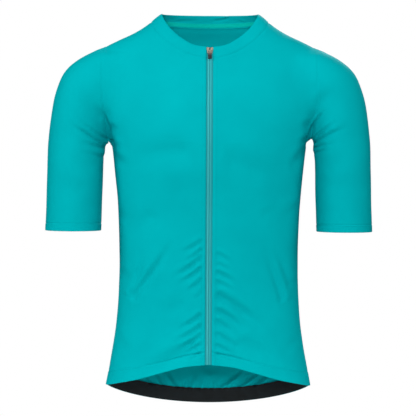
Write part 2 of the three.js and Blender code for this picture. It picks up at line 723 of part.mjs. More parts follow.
// Flared at the top where the zip's two rows part, narrow where they leave it joined.
function sliderPlate(thickness) {
  const outline = new THREE.Shape();
  outline.moveTo(-SLIDER_HALF_FOOT, -SLIDER_LENGTH + 1);
  outline.quadraticCurveTo(-SLIDER_HALF_FOOT, -SLIDER_LENGTH, -SLIDER_HALF_FOOT + 1, -SLIDER_LENGTH);
  outline.lineTo(SLIDER_HALF_FOOT - 1, -SLIDER_LENGTH);
  outline.quadraticCurveTo(SLIDER_HALF_FOOT, -SLIDER_LENGTH, SLIDER_HALF_FOOT, -SLIDER_LENGTH + 1);
  outline.bezierCurveTo(SLIDER_HALF_FOOT, -SLIDER_LENGTH + 6, SLIDER_HALF_TOP, -5, SLIDER_HALF_TOP, -2.2);
  outline.quadraticCurveTo(SLIDER_HALF_TOP, -0.2, SLIDER_HALF_TOP - 1.8, 0);
  outline.quadraticCurveTo(0, -1.8, -SLIDER_HALF_TOP + 1.8, 0);
  outline.quadraticCurveTo(-SLIDER_HALF_TOP, -0.2, -SLIDER_HALF_TOP, -2.2);
  outline.bezierCurveTo(
    -SLIDER_HALF_TOP, -5,
    -SLIDER_HALF_FOOT, -SLIDER_LENGTH + 6,
    -SLIDER_HALF_FOOT, -SLIDER_LENGTH + 1,
  );
  return new THREE.ExtrudeGeometry(outline, { depth: thickness, bevelEnabled: false, curveSegments: 5 });
}

// Front and back plates joined by the post between the rows, with two ears that hold the pull tab's pin.
function slider() {
  const tapeGap = ZIP_TAPE_WALL + 2 * SEAM_GAP;
  const earMiddle = EAR_HALF_GAP + EAR_WIDTH / 2;
  const earHeight = PIN_HEIGHT - SLIDER_PLATE + 1;
  let body = solid(sliderPlate(SLIDER_PLATE));
  body = body.add(solid(sliderPlate(BACK_PLATE).translate(0, 0, -tapeGap - BACK_PLATE)));
  const post = slab(2 * POST_HALF, POST_LENGTH - 1, tapeGap + 0.6, 0, -(POST_LENGTH + 1) / 2, -tapeGap / 2);
  body = body.add(solid(post));
  for (const side of [-1, 1]) {
    const x = side * earMiddle;
    const ear = slab(EAR_WIDTH, EAR_LENGTH, earHeight, x, -PIN_DOWN, SLIDER_PLATE - 0.5 + earHeight / 2);
    body = body.add(solid(ear));
  }
  return body.add(solid(rodAcross(PIN_RADIUS, 2 * earMiddle, -PIN_DOWN, PIN_HEIGHT)));
}

// A flat tab that hangs from a barrel round the pin.
function pullTab() {
  const barrelHalf = EAR_HALF_GAP - EYE_CLEARANCE;
  const outline = new THREE.Shape();
  outline.moveTo(-barrelHalf, 0);
  outline.lineTo(-barrelHalf, -2.4);
  outline.quadraticCurveTo(-TAB_HALF_WIDTH, -2.6, -TAB_HALF_WIDTH, -4.6);
  outline.lineTo(-TAB_HALF_WIDTH, -TAB_LENGTH + 1.5);
  outline.quadraticCurveTo(-TAB_HALF_WIDTH, -TAB_LENGTH, -TAB_HALF_WIDTH + 1.5, -TAB_LENGTH);
  outline.lineTo(TAB_HALF_WIDTH - 1.5, -TAB_LENGTH);
  outline.quadraticCurveTo(TAB_HALF_WIDTH, -TAB_LENGTH, TAB_HALF_WIDTH, -TAB_LENGTH + 1.5);
  outline.lineTo(TAB_HALF_WIDTH, -4.6);
  outline.quadraticCurveTo(TAB_HALF_WIDTH, -2.6, barrelHalf, -2.4);
  outline.lineTo(barrelHalf, 0);
  const plate = new THREE.ExtrudeGeometry(outline, { depth: TAB_WALL, bevelEnabled: false, curveSegments: 5 })
    .translate(0, -PIN_DOWN, PIN_HEIGHT - TAB_WALL / 2);
  return solid(plate)
    .add(solid(rodAcross(BARREL_RADIUS, 2 * barrelHalf, -PIN_DOWN, PIN_HEIGHT)))
    .subtract(solid(rodAcross(PIN_RADIUS + EYE_CLEARANCE, 4 * barrelHalf, -PIN_DOWN, PIN_HEIGHT)));
}

// The jersey

const MATERIALS = {
  knit: { color: 0x00b2ba, roughness: 0.62, metalness: 0 },
  gripper: { color: 0x15191b, roughness: 0.8, metalness: 0 },
  zipTape: { color: 0x4fa5aa, roughness: 0.5, metalness: 0 },
  slider: { color: 0x9a9488, roughness: 0.35, metalness: 0.9 },
  tab: { color: 0x35393b, roughness: 0.45, metalness: 0.6 },
};
const jersey = new THREE.Group();
const put = (group, name, geometry, look) => {
  const mesh = new THREE.Mesh(geometry, new THREE.MeshStandardMaterial(MATERIALS[look]));
  mesh.name = name;
  group.add(mesh);
};

put(jersey, 'front_left', frontLeft, 'knit');
put(jersey, 'front_right', frontRight, 'knit');
put(jersey, 'back', backPanel, 'knit');
put(jersey, 'sleeve_left', sleeveLeft, 'knit');
put(jersey, 'sleeve_right', sleeveRight, 'knit');
put(jersey, 'collar', collar, 'knit');
put(jersey, 'neck_tape', neckTape, 'knit');
put(jersey, 'hem_gripper', gripper, 'gripper');
put(jersey, 'pocket_panel', pocketPanel, 'knit');
put(jersey, 'pocket_binding', pocketBinding, 'knit');
put(jersey, 'zip_tape_left', zipTapeLeft, 'zipTape');
put(jersey, 'zip_tape_right', zipTapeRight, 'zipTape');

// The slider sits on the tapes, leaning as the collar does.
const zipTop = new THREE.Group();
const seat = zipFace(0, SLIDER_TOP_Z);
const lean = Math.atan2(-seat.n.z, -seat.n.y);
zipTop.position.copy(shift(vector(0, seat.p.y, seat.p.z), seat.n, tapeFace + SEAM_GAP));
zipTop.rotation.x = 90 * DEGREE + lean;
put(zipTop, 'zip_slider', geometryOf(slider()), 'slider');
put(zipTop, 'zip_pull_tab', geometryOf(pullTab()), 'tab');
jersey.add(zipTop);

export default jersey;
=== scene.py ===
import math

import bpy
import numpy as np
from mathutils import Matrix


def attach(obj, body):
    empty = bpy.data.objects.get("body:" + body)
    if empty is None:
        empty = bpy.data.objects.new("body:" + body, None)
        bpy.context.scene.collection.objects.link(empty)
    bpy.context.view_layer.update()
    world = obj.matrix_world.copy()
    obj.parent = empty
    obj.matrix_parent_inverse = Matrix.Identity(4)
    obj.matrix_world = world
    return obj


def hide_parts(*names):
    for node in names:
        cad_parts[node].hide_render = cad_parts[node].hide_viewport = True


# A cycling jersey, filled out as if worn. Sizes are in millimetres until a mesh is made.

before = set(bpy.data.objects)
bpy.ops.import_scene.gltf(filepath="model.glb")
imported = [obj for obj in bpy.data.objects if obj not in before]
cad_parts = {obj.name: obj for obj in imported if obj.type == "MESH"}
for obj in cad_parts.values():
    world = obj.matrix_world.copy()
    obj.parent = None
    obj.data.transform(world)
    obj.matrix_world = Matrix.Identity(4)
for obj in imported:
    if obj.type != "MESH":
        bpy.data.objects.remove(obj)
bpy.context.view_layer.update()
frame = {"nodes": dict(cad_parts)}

MM = 0.001

# Driving sizes. The cloth is thinner and its seams are closer than in the solids, the neck is
# a little wider and the collar is flatter.

CLOTH = 1.1
COLLAR_CLOTH = 1.6
SEAM_GAP = 0.02
LAY_GAP = 0.5
ZIP_HALF = 6.3
ZIP_TAPE = 13.5
ZIP_TAPE_WALL = 1.0
NECK_HALF = 106
NECK_SIDE_Z = 6
NECK_FRONT_Z = -62
NECK_BACK_Z = 1
COLLAR_TOP_HALF = 87.5
COLLAR_TOP_SIDE_Z = 21.8
COLLAR_TOP_FRONT_Z = -42
COLLAR_TOP_BACK_Z = 23
COLLAR_TOP_FRONT_SHARE = 0.87
COLLAR_TOP_BACK_SHARE = 0.85
COLLAR_BULGE = 0.6
BULGE_TURN = 25
HEM_SIDE_Z = -645
HEM_BACK_Z = -687.4
HEM_BAND = 26.5
CUFF_Z = -368
CUFF_FRONT_DROP = 3
SHOULDER_REACH_Z = -123
POCKET_TOP_Z = -478
POCKET_BINDING = 10
NECK_CURVE = 1.6
TOP_CURVE = 1.44
TAIL_CURVE = 0.66
CLOSING_TURN = 30
ABOVE_ARM = 3
LEVEL_FROM = 0.72
CURVED_TO = 0.45
CUFF_DROP_FROM = 0.6
ARM_DEPTH = 100
ZIP_TURN = math.degrees(math.asin(ZIP_HALF / NECK_HALF))

# How finely each piece is divided

COLUMN_SPLIT = 8
ROW_SPLIT = 8
COLUMNS = 13 * COLUMN_SPLIT
NECK_COLUMNS = 5 * COLUMN_SPLIT
NECK_BEND = 50
YOKE_ROWS = 12 * ROW_SPLIT
NECK_ROW = 8 * ROW_SPLIT
FRONT_ROWS = 205
BACK_ROWS = 146
HEM_ROWS = 50
HEM_SHARE = 0.12
SLEEVE_ROWS = 116
CUFF_ROWS = 30
CUFF_FROM = 0.91
COLLAR_ROWS = 12


def table(names, *rows):
    """A short table as one array for each named column."""
    return {name: np.array([row[i] for row in rows], float) for i, name in enumerate(names.split())}


# Rings of the trunk: half width, depth ahead of and behind the middle plane, and squareness.
TRUNK = table(
    "z half front back power",
    (30, 78, 44, 50, 2.0),
    (6, 106, 50, 59.5, 2.0),
    (-5, 121, 51, 64, 2.0),
    (-16, 140, 53, 70, 2.0),
    (-27, 163.5, 55, 75, 2.0),
    (-38, 185, 57, 80, 2.0),
    (-46, 197, 59, 84, 2.05),
    (-62, 209, 64, 90, 2.1),
    (-90, 212, 77, 100, 2.15),
    (-125, 205, 93, 108, 2.2),
    (-165, 190, 106, 112, 2.3),
    (-190, 181.5, 111, 111, 2.35),
    (-204, 177.5, 113, 110, 2.35),
    (-216, 174.6, 114, 109, 2.35),
    (-260, 169.5, 113, 103, 2.3),
    (-306, 164.7, 108, 96, 2.3),
    (-350, 162, 104, 91, 2.25),
    (-421, 160, 101, 89, 2.25),
    (-475, 161, 100.5, 92, 2.2),
    (-529, 164.7, 100, 97, 2.2),
    (-565, 169.5, 100, 100, 2.15),
    (-601, 175.5, 99.5, 102.5, 2.1),
    (-644.4, 183.6, 99, 105, 2.1),
    (-700, 194, 98, 108, 2.1),
)

# Rings of one arm: its inner and outer side, its depth and how far forward its middle is.
ARM = table(
    "z inner outer depth forward",
    (-45, 176, 202, 19, -2),
    (-54, 159, 221.5, 37, -3),
    (-62, 153, 236, 45.5, -4),
    (-76, 154, 253.5, 53, -4),
    (-90, 159, 264, 57.5, -4),
    (-110, 168, 272.5, 61, -3),
    (-135, 176, 280, 62.5, -2),
    (-165, 182, 284.5, 62, 0),
    (-204, 184.5, 289, 60, 1),
    (-219, 186.5, 290, 59.5, 1.5),
    (-241, 190, 290.5, 58, 2),
    (-300, 191.5, 291.5, 55, 4),
    (-369, 193.5, 293.4, 52.5, 7),
    (-400, 194, 294, 52, 8),
)

# How widely the trunk and an arm flow into each other.
BLEND = table(
    "z width",
    (0, 4),
    (-30, 8),
    (-50, 22),
    (-75, 40),
    (-105, 50),
    (-140, 44),
    (-170, 32),
    (-192, 23),
    (-204, 18),
    (-216, 14),
    (-241, 8),
)

# The armhole seam, seen from the front.
ARMHOLE = table("z x", (0, 191), (-110, 191), (-140, 189.5), (-170, 186.5), (-206, 182))

# The front hem, which rises from the side seams to the zip.
FRONT_HEM = table(
    "x z",
    (0, -601.5),
    (41, -606),
    (75, -615),
    (126, -630.3),
    (160, -638.5),
    (184, HEM_SIDE_Z),
)

# Creases are troughs between two points seen from the front. bow is how far the line curves
# sideways, width is half of what the trough spans, and ridge is the height of the fold of cloth
# above it as a share of depth. side and face say which piece a table's row lies on.
CREASE = "x0 z0 x1 z1 bow width depth ridge"
FRONT_RIGHT_CREASES = table(
    CREASE,
    (-139, -492, -58, -376, 4, 6.5, 4.0, 0.55),
    (-141, -484, -112, -402, 3, 5, 2.4, 0.55),
    (-96, -330, -150, -400, 4, 14.4, 2.4, 0.4),
    (-9, -384, -52, -408, 2, 4.6, 1.8, 0.7),
    (-9, -397, -46, -426, 2, 4.1, 2.6, 0.7),
    (-9, -411, -64, -452, 3, 5.5, 3.3, 0.7),
    (-9, -430, -56, -463, 2, 4.6, 3.3, 0.7),
    (-9, -450, -42, -476, 2, 4.1, 2.1, 0.7),
    (-9, -474, -30, -490, 1, 3.7, 1.2, 0.6),
    (-9, -512, -56, -542, 3, 5, 3, 0.7),
    (-9, -531, -64, -564, 3, 5, 3.3, 0.7),
    (-9, -547, -60, -581, 2, 4.6, 3.3, 0.7),
    (-9, -562, -50, -588, 2, 4.1, 2.6, 0.7),
    (-9, -580, -36, -594, 1, 3.7, 2.1, 0.6),
    (-18, -560, -126, -622, 6, 12.6, 4.8, 0.4),
    (-34, -486, -96, -516, 8, 16.2, 2.4, 0.3),
    (-24, -232, -150, -268, -16, 19.8, 3.3, 0.3),
    (-182, -214, -140, -262, 4, 8.1, 3, 0.5),
    (-184, -200, -150, -228, 3, 6.3, 2.4, 0.5),
    (-186, -178, -156, -190, 3, 6.3, 1.8, 0.5),
    (-172, -330, -128, -356, 3, 8.1, 1.1, 0.4),
    (-168, -432, -140, -462, -2, 7.2, 1.1, 0.4),
    (-168, -548, -132, -590, 4, 9, 1.3, 0.4),
)
FRONT_LEFT_CREASES = table(
    CREASE,
    (132, -496, 92, -390, -3, 6.5, 3.4, 0.5),
    (146, -470, 114, -396, -2, 7, 1.9, 0.5),
    (96, -324, 146, -396, -4, 14.4, 2.4, 0.4),
    (9, -406, 44, -428, -2, 4.1, 1.8, 0.7),
    (9, -424, 40, -442, -2, 3.7, 1.4, 0.7),
    (9, -438, 50, -464, -2, 4.6, 3, 0.7),
    (9, -455, 46, -478, -2, 4.1, 2.6, 0.7),
    (9, -476, 104, -552, -6, 7.4, 5.2, 0.55),
    (9, -504, 66, -546, -4, 5.5, 3.9, 0.65),
    (9, -522, 48, -552, -2, 4.6, 3, 0.7),
    (9, -546, 60, -582, -3, 5, 2.7, 0.7),
    (9, -566, 48, -590, -2, 4.1, 2.1, 0.7),
    (9, -582, 34, -596, -1, 3.7, 1.8, 0.6),
    (44, -560, 132, -612, -6, 11.7, 3.3, 0.4),
    (24, -232, 150, -268, 16, 19.8, 3.3, 0.3),
    (182, -214, 144, -266, -4, 8.1, 3.3, 0.5),
    (184, -199, 152, -226, -3, 6.3, 2.4, 0.5),
    (186, -176, 160, -190, -3, 6.3, 1.6, 0.5),
    (170, -318, 126, -350, -3, 8.1, 1.2, 0.4),
    (166, -446, 138, -470, 2, 7.2, 1.1, 0.4),
    (168, -556, 128, -596, -4, 9, 1.4, 0.4),
)
BACK_CREASES = table(
    CREASE,
    (-176, -226, -96, -300, 6, 13, 3.1, 0.45),
    (174, -230, 88, -296, -6, 12, 2.8, 0.45),
    (-180, -208, -134, -246, 4, 8, 2.1, 0.5),
    (182, -206, 130, -250, -4, 8, 2.2, 0.5),
    (-160, -352, -46, -398, 8, 12, 3.1, 0.5),
    (158, -344, 36, -402, -8, 13, 3.4, 0.5),
    (-162, -384, -70, -420, 5, 10, 2.4, 0.5),
    (160, -380, 82, -414, -5, 9, 2.2, 0.5),
    (-28, -428, 60, -420, -6, 10, 1.8, 0.4),
    (-158, -430, -112, -470, -3, 9, 2, 0.5),
    (158, -424, 118, -468, 3, 9, 2.1, 0.5),
    (-64, -118, -150, -176, 8, 18, 2, 0.3),
    (66, -114, 152, -170, -8, 18, 2, 0.3),
    (-30, -36, 34, -34, 5, 10, 1.4, 0.4),
    (-160, -560, -122, -620, 4, 9, 2, 0.4),
    (162, -548, 124, -616, -4, 9, 2, 0.4),
    (22, -664, 70, -628, 2, 4.0, 4.6, 0.7),
    (58, -662, 100, -630, 2, 3.6, 4.3, 0.7),
    (86, -661, 122, -630, 1, 4.2, 3.2, 0.7),
    (36, -666, 44, -646, 1, 3.2, 3, 0.7),
    (12, -667, 16, -643, -1, 3.2, 3, 0.7),
    (0, -668, 6, -640, 1, 3.2, 2.7, 0.6),
    (-12, -668, -8, -634, 1, 3.4, 3.2, 0.7),
    (-28, -667, -22, -636, -1, 3.4, 3.5, 0.7),
    (-44, -666, -36, -644, 1, 3.2, 2.7, 0.7),
    (-58, -664, -80, -626, 2, 4.0, 3.5, 0.7),
    (-84, -662, -98, -632, 1, 3.6, 3, 0.6),
    (-106, -658, -120, -634, 1, 3.4, 2.4, 0.6),
    (10, -644, -18, -618, 3, 8, 2.2, 0.3),
)
POCKET_CREASES = table(
    CREASE,
    (-108, -500, -64, -566, 4, 9, 1.2, 0.4),
    (-52, -492, -46, -560, 3, 8, 0.8, 0.4),
    (-20, -500, 14, -590, 5, 10, 1.1, 0.4),
    (30, -560, 22, -630, -3, 8, 0.8, 0.4),
    (104, -498, 58, -570, -4, 9, 1.3, 0.4),
    (-96, -600, -60, -646, 3, 7, 0.9, 0.5),
    (94, -604, 66, -648, -3, 7, 0.9, 0.5),
)
COLLAR_CREASES = table(
    CREASE,
    (36, 19.5, -2, 14, 0.5, 1.9, -1.2, 0.7),
    (-62, 12, -20, 15, -0.5, 2.2, -0.8, 0.6),
    (66, 10, 44, 16, 0.5, 2.0, -0.7, 0.6),
)
SLEEVE_RIGHT_FRONT = table(
    CREASE,
    (-176, -220, -259, -171, 2, 2.9, 3.9, 0.6),
    (-174, -210, -236, -171, 1, 2.6, 3.2, 0.6),
    (-176, -221, -238, -207, 2, 2.8, 3.4, 0.6),
    (-182, -236, -234, -228, 2, 3.4, 2.1, 0.5),
    (-178, -196, -196, -149, -3, 2.6, 2.3, 0.5),
    (-188, -172, -226, -128, 4, 9, 1.6, 0.4),
    (-200, -262, -252, -236, 5, 12, 1.5, 0.3),
    (-214, -300, -262, -278, 4, 14, 1.1, 0.3),
)
SLEEVE_LEFT_FRONT = table(
    CREASE,
    (178, -209, 230, -169, -1, 2.6, 3.2, 0.6),
    (178, -214, 253, -179, -2, 2.9, 3.9, 0.6),
    (176, -202, 208, -150, -4, 2.6, 3, 0.6),
    (178, -221, 233, -211, -2, 2.8, 2.8, 0.6),
    (180, -230, 219, -222, -1, 3.0, 2.3, 0.5),
    (188, -152, 226, -118, -4, 9, 1.5, 0.4),
    (202, -264, 250, -240, -5, 12, 1.5, 0.3),
    (212, -304, 264, -284, -4, 14, 1.1, 0.3),
)
SLEEVE_RIGHT_BACK = table(
    CREASE,
    (-190, -206, -230, -176, 2, 6, 1.7, 0.5),
    (-194, -220, -236, -206, 2, 6, 1.5, 0.5),
    (-192, -184, -214, -150, 3, 7, 1.3, 0.5),
    (-198, -246, -248, -232, 4, 9, 1.2, 0.4),
    (-206, -292, -262, -262, 5, 13, 1.0, 0.3),
)
SLEEVE_LEFT_BACK = table(
    CREASE,
    (190, -204, 228, -172, -2, 6, 1.6, 0.5),
    (195, -222, 240, -210, -2, 6, 1.5, 0.5),
    (192, -182, 216, -146, -3, 7, 1.4, 0.5),
    (198, -250, 244, -230, -4, 9, 1.1, 0.4),
    (208, -288, 260, -266, -5, 13, 1.0, 0.3),
)

# Curves through the tables

CURVE_PAST = 80
CURVE_STEP = 0.25


def curve(rows, column, key="z"):
    """A smooth curve through one column of a table that never overshoots its rows."""
    order = np.argsort(rows[key])
    at, value = rows[key][order], rows[column][order]
    secant = np.diff(value) / np.diff(at)
    before, after = np.r_[secant[0], secant], np.r_[secant, secant[-1]]
    flat = before * after <= 0
    slope = np.where(flat, 0, 2 * before * after / np.where(flat, 1, before + after))
    fine = np.arange(at[0] - CURVE_PAST, at[-1] + CURVE_PAST, CURVE_STEP)
    i = np.clip(np.searchsorted(at, fine) - 1, 0, len(at) - 2)
    span = at[i + 1] - at[i]
    t = np.clip((fine - at[i]) / span, 0, 1)
    rise = t * t * (3 - 2 * t)
    read = value[i] + (value[i + 1] - value[i]) * rise
    read += span * (slope[i] * t * (1 - t) ** 2 - slope[i + 1] * t * t * (1 - t))
    read += slope[0] * np.minimum(fine - at[0], 0) + slope[-1] * np.maximum(fine - at[-1], 0)
    return lambda where: np.interp(where, fine, read)


trunk_half, trunk_front, trunk_back, trunk_power = (
    curve(TRUNK, name) for name in ("half", "front", "back", "power")
)
arm_inner, arm_outer, arm_depth, arm_forward = (
    curve(ARM, name) for name in ("inner", "outer", "depth", "forward")
)
blend_width = curve(BLEND, "width")
armhole_x = curve(ARMHOLE, "x")
front_hem = curve(FRONT_HEM, "z", "x")
ARM_TOP = ARM["z"].max()


def smooth(t):
    t = np.clip(t, 0, 1)
    return t * t * (3 - 2 * t)


def unit(v):
    return v / np.maximum(np.linalg.norm(v, axis=-1, keepdims=True), 1e-12)


def points(x, y, z):
    return np.stack(np.broadcast_arrays(x, y, z), axis=-1).astype(float)


def mix(a, b, t):
    return a + (b - a) * t


# The filled-out form under the cloth


def ring_distance(x, y, half, depth, power):
    """Signed distance, nearly, from a ring of a given half width, depth and squareness."""
    u, v = np.abs(x) / half, np.abs(y) / depth
    size = np.maximum((u**power + v**power) ** (1 / power), 1e-6)
    slope = np.hypot((u / size) ** (power - 1) / half, (v / size) ** (power - 1) / depth)
    return (size - 1) / slope


def form(p):
    side, y, z = np.abs(p[..., 0]), p[..., 1], p[..., 2]
    depth = np.where(y < 0, trunk_front(z), trunk_back(z))
    body = ring_distance(side, y, trunk_half(z), depth, trunk_power(z))
    level = np.minimum(z, ARM_TOP)
    inner, outer = arm_inner(level), arm_outer(level)
    limb = ring_distance(
        side - (inner + outer) / 2, y + arm_forward(level), (outer - inner) / 2, arm_depth(level), 2.0
    )
    limb = limb + ABOVE_ARM * np.maximum(z - ARM_TOP, 0)
    width = np.maximum(blend_width(z), 4)
    overlap = np.maximum(width - np.abs(body - limb), 0) / width
    return np.minimum(body, limb) - overlap * overlap * width / 4


def outward(p):
    """The way straight out of the form at each point."""
    step = 0.5
    slopes = []
    for axis in np.eye(3):
        slopes.append(form(p + axis * step) - form(p - axis * step))
    return unit(np.stack(slopes, axis=-1))


def leave(origin, direction, bend=None, stride=4.0, limit=400.0):
    """Where straight paths that start inside the form leave it. bend shifts the paths' points."""
    origin, direction = np.broadcast_arrays(origin, direction)
    shape = origin.shape
    origin, direction = origin.reshape(-1, 3), direction.reshape(-1, 3)
    every = np.arange(len(origin))

    def at(rows, distance):
        p = origin[rows] + direction[rows] * distance[:, None]
        return p if bend is None else bend(p, rows)

    near = np.zeros(len(origin))
    rows = every
    while len(rows):
        rows = rows[form(at(rows, near[rows] + stride)) < 0]
        near[rows] += stride
        rows = rows[near[rows] <= limit]
    far = near + stride
    for _ in range(16):
        middle = (near + far) / 2
        inside = form(at(every, middle)) < 0
        near, far = np.where(inside, middle, near), np.where(inside, far, middle)
    return at(every, np.minimum(near, limit)).reshape(shape)


def find_underarm():
    """The height where trunk and arm first meet: the top of the side seam."""
    low, high = -230.0, -180.0
    for _ in range(40):
        middle = (low + high) / 2
        if form(points(armhole_x(middle), 0, middle)) < 0:
            high = middle
        else:
            low = middle
    return (low + high) / 2


UNDERARM_Z = find_underarm()
UNDERARM = points(armhole_x(UNDERARM_Z), 0, UNDERARM_Z)
SHOULDER = leave(points(armhole_x(0), 0, SHOULDER_REACH_Z)[None], np.array([[0, 0, 1.0]]))[0]
SEAM_UP = unit(SHOULDER - UNDERARM)[2]
SEAM_MIDDLE = (SHOULDER + UNDERARM) / 2

# Seams


def armhole(turn, face, aside):
    """Points of the armhole seam: turn 0 is the underarm and 180 the shoulder, face -1 the front."""
    angle = np.radians(turn)
    way = points(0, face * np.sin(angle), -np.cos(angle) * SEAM_UP)
    origin = np.broadcast_to(points(0, 0, SEAM_MIDDLE[2]), way.shape)
    return leave(
        origin, way, lambda p, rows: points(armhole_x(p[:, 2]) + aside, p[:, 1], p[:, 2])
    )


def neckline(turn):
    """Points of the neckline seam: turn 0 is the front's middle, 90 the side, 180 the back."""
    c, s = np.cos(np.radians(turn)), np.sin(np.radians(turn))
    front = c > 0
    ahead = NECK_SIDE_Z - (NECK_SIDE_Z - NECK_FRONT_Z) * np.maximum(c, 0) ** NECK_CURVE
    behind = NECK_BACK_Z + (NECK_SIDE_Z - NECK_BACK_Z) * s * s
    return leave(
        points(NECK_HALF * s, 0, np.where(front, ahead, behind)), points(0, np.where(front, -1, 1), 0)
    )


def collar_top(turn, foot):
    c, s = np.cos(np.radians(turn)), np.sin(np.radians(turn))
    front = c > 0
    closing = smooth((turn - ZIP_TURN) / CLOSING_TURN)
    drop = (COLLAR_TOP_SIDE_Z - COLLAR_TOP_FRONT_Z) * np.maximum(c, 0) ** TOP_CURVE
    rise = (COLLAR_TOP_BACK_Z - COLLAR_TOP_SIDE_Z) * c * c
    return points(
        mix(foot[..., 0], COLLAR_TOP_HALF * s, closing),
        foot[..., 1] * np.where(front, COLLAR_TOP_FRONT_SHARE, COLLAR_TOP_BACK_SHARE),
        COLLAR_TOP_SIDE_Z + np.where(front, -drop, rise),
    )


def neck_seam(turn):
    """The collar seam's foot, the collar's height, and the ways up, out, through and apart."""
    turn = np.asarray(turn, float)
    foot = neckline(turn)
    top = collar_top(turn, foot)
    height = np.linalg.norm(top - foot, axis=-1)
    rise = unit(top - foot)
    around = unit(neckline(turn + 1) - neckline(turn - 1))
    out = unit(np.cross(around, rise))
    through = unit(out + outward(foot))
    apart = unit(np.cross(through, around))
    return foot, height, rise, out, through, apart


def hem_level(x, face):
    side = np.minimum(np.abs(x), trunk_half(HEM_SIDE_Z))
    if face < 0:
        return front_hem(side)
    across = side / trunk_half(HEM_SIDE_Z)
    return HEM_SIDE_Z + (HEM_BACK_Z - HEM_SIDE_Z) * (1 - across**2) ** TAIL_CURVE


# Relief of the cloth

WANDER = 0.5
SEAM_GROOVE = 0.36
PINCH_DEPTH = 10
PINCH_REACH = 11
PINCH_ASIDE = 3
SEAM_PINCH = 3
SEAM_PINCH_DEEPER = 8
SEAM_PINCH_REACH = 3.4
PINCH_FROM_Z = -142
PINCH_RUN = 55
PINCH_BELOW = 26
PINCH_FOOT = 0.85
SEAM_PINCH_ABOVE = 42
SEAM_PINCH_RUN = 40
FRONT_TO_BACK = 24
LIFT_LEFT = 6
LIFT_RIGHT = -2
LIFT_ACROSS = 7
LIFT_DEPTH = 16
LIFT_FADES_Z = -150

# A crease starts over this many of its widths and ends over this share of its length. The fold
# above it is this many widths away.
CREASE_START = 1.2
CREASE_END = 0.6
RIDGE_ASIDE = 1.7

# The swell beside a seam: its share of the valley's depth, its place and its reach.
SWELL_SHARE = 0.35
SWELL_AWAY = 4.2
SWELL_REACH = 2.2

# Gathers beat two pitches together, and swell and fade over a longer one.
SECOND_BEAT = 0.6
SECOND_PITCH = 1.73
SWELL_PITCH = 9.3

# The wander's waves: how many, the shortest and the step to the next.
WAVES = 6
SHORTEST_WAVE = 62
WAVE_STEP = 23


def crease_depth(rows, p):
    """How far a table's creases push the cloth in at each point."""
    x, z = p[..., 0], p[..., 2]
    depth = np.zeros(x.shape)
    for x0, z0, x1, z1, bow, width, deep, ridge in zip(*(rows[name] for name in CREASE.split())):
        run = math.hypot(x1 - x0, z1 - z0)
        ax, az = (x1 - x0) / run, (z1 - z0) / run
        down = (x - x0) * ax + (z - z0) * az
        t = down / run
        sideways = 1.0 if x1 > x0 else -1.0
        off = sideways * ((x - x0) * az - (z - z0) * ax)
        off = (off - bow * 4 * t * (1 - t) * (np.abs(t - 0.5) < 1)) / width
        fade = smooth(down / (CREASE_START * width)) * smooth((run - down) / (CREASE_END * run))
        depth += deep * fade * (np.exp(-off * off) - ridge * np.exp(-((off + RIDGE_ASIDE) ** 2)))
    return depth


def unevenness(p):
    """A gentle wander of the surface, so that no wide area is perfectly smooth."""
    total = np.zeros(p.shape[:-1])
    for k in range(WAVES):
        a = 1.7 + k * 2.39
        wave = 2 * math.pi / (SHORTEST_WAVE + WAVE_STEP * k)
        phase = p[..., 0] * math.cos(a) * wave + p[..., 2] * math.sin(a) * wave
        total += np.sin(phase + p[..., 1] * 0.6 * wave * math.cos(a + 1) + 3.1 * a)
    return total / WAVES


def armpit(p):
    """The creases that start at the underarm and how far the cloth is lifted right under it. It is
    the same on both sides of the armhole seam."""
    front = smooth(0.5 - p[..., 1] / FRONT_TO_BACK)
    ahead = crease_depth(SLEEVE_LEFT_FRONT, p) + crease_depth(SLEEVE_RIGHT_FRONT, p)
    behind = crease_depth(SLEEVE_LEFT_BACK, p) + crease_depth(SLEEVE_RIGHT_BACK, p)
    off = np.abs(p[..., 0]) - armhole_x(p[..., 2])
    lift = np.where(p[..., 0] > 0, LIFT_LEFT, LIFT_RIGHT)
    lift = lift * smooth((p[..., 2] - UNDERARM_Z + 12) / 10)
    lift = lift * np.exp(-((off / LIFT_ACROSS) ** 2) - (p[..., 1] / LIFT_DEPTH) ** 2)
    lift = lift * smooth((LIFT_FADES_Z - p[..., 2]) / 40)
    return front * ahead + (1 - front) * behind + lift


def pinch(p):
    """How far the front and the back are drawn in towards each other above the underarm."""
    off = np.abs(p[..., 0]) - armhole_x(p[..., 2])
    low = smooth((PINCH_FROM_Z - p[..., 2]) / PINCH_RUN)
    low = low * smooth((p[..., 2] - UNDERARM_Z + PINCH_BELOW) / (PINCH_FOOT * PINCH_BELOW))
    deeper = smooth((UNDERARM_Z + SEAM_PINCH_ABOVE - p[..., 2]) / SEAM_PINCH_RUN)
    at_seam = SEAM_PINCH + SEAM_PINCH_DEEPER * deeper
    wide = PINCH_DEPTH * np.exp(-(((off + PINCH_ASIDE) / PINCH_REACH) ** 2))
    return low * (wide + at_seam * np.exp(-((off / SEAM_PINCH_REACH) ** 2)))


def pushed(p, n, depth):
    """Points of the form after the cloth's relief, with the pinch only forwards and backwards."""
    moved = p - n * depth[..., None]
    moved[..., 1] -= n[..., 1] * pinch(p)
    return moved


def wander(p):
    """What every piece of cloth shares, so that the pieces meet at their seams."""
    return WANDER * unevenness(p) + armpit(p)


def groove(distance, depth=SEAM_GROOVE, reach=1.5):
    """The valley at a seam with the soft swell of its turned-in cloth beside it."""
    swell = SWELL_SHARE * depth * np.exp(-(((distance - SWELL_AWAY) / SWELL_REACH) ** 2))
    return depth * np.exp(-((distance / reach) ** 2)) - swell


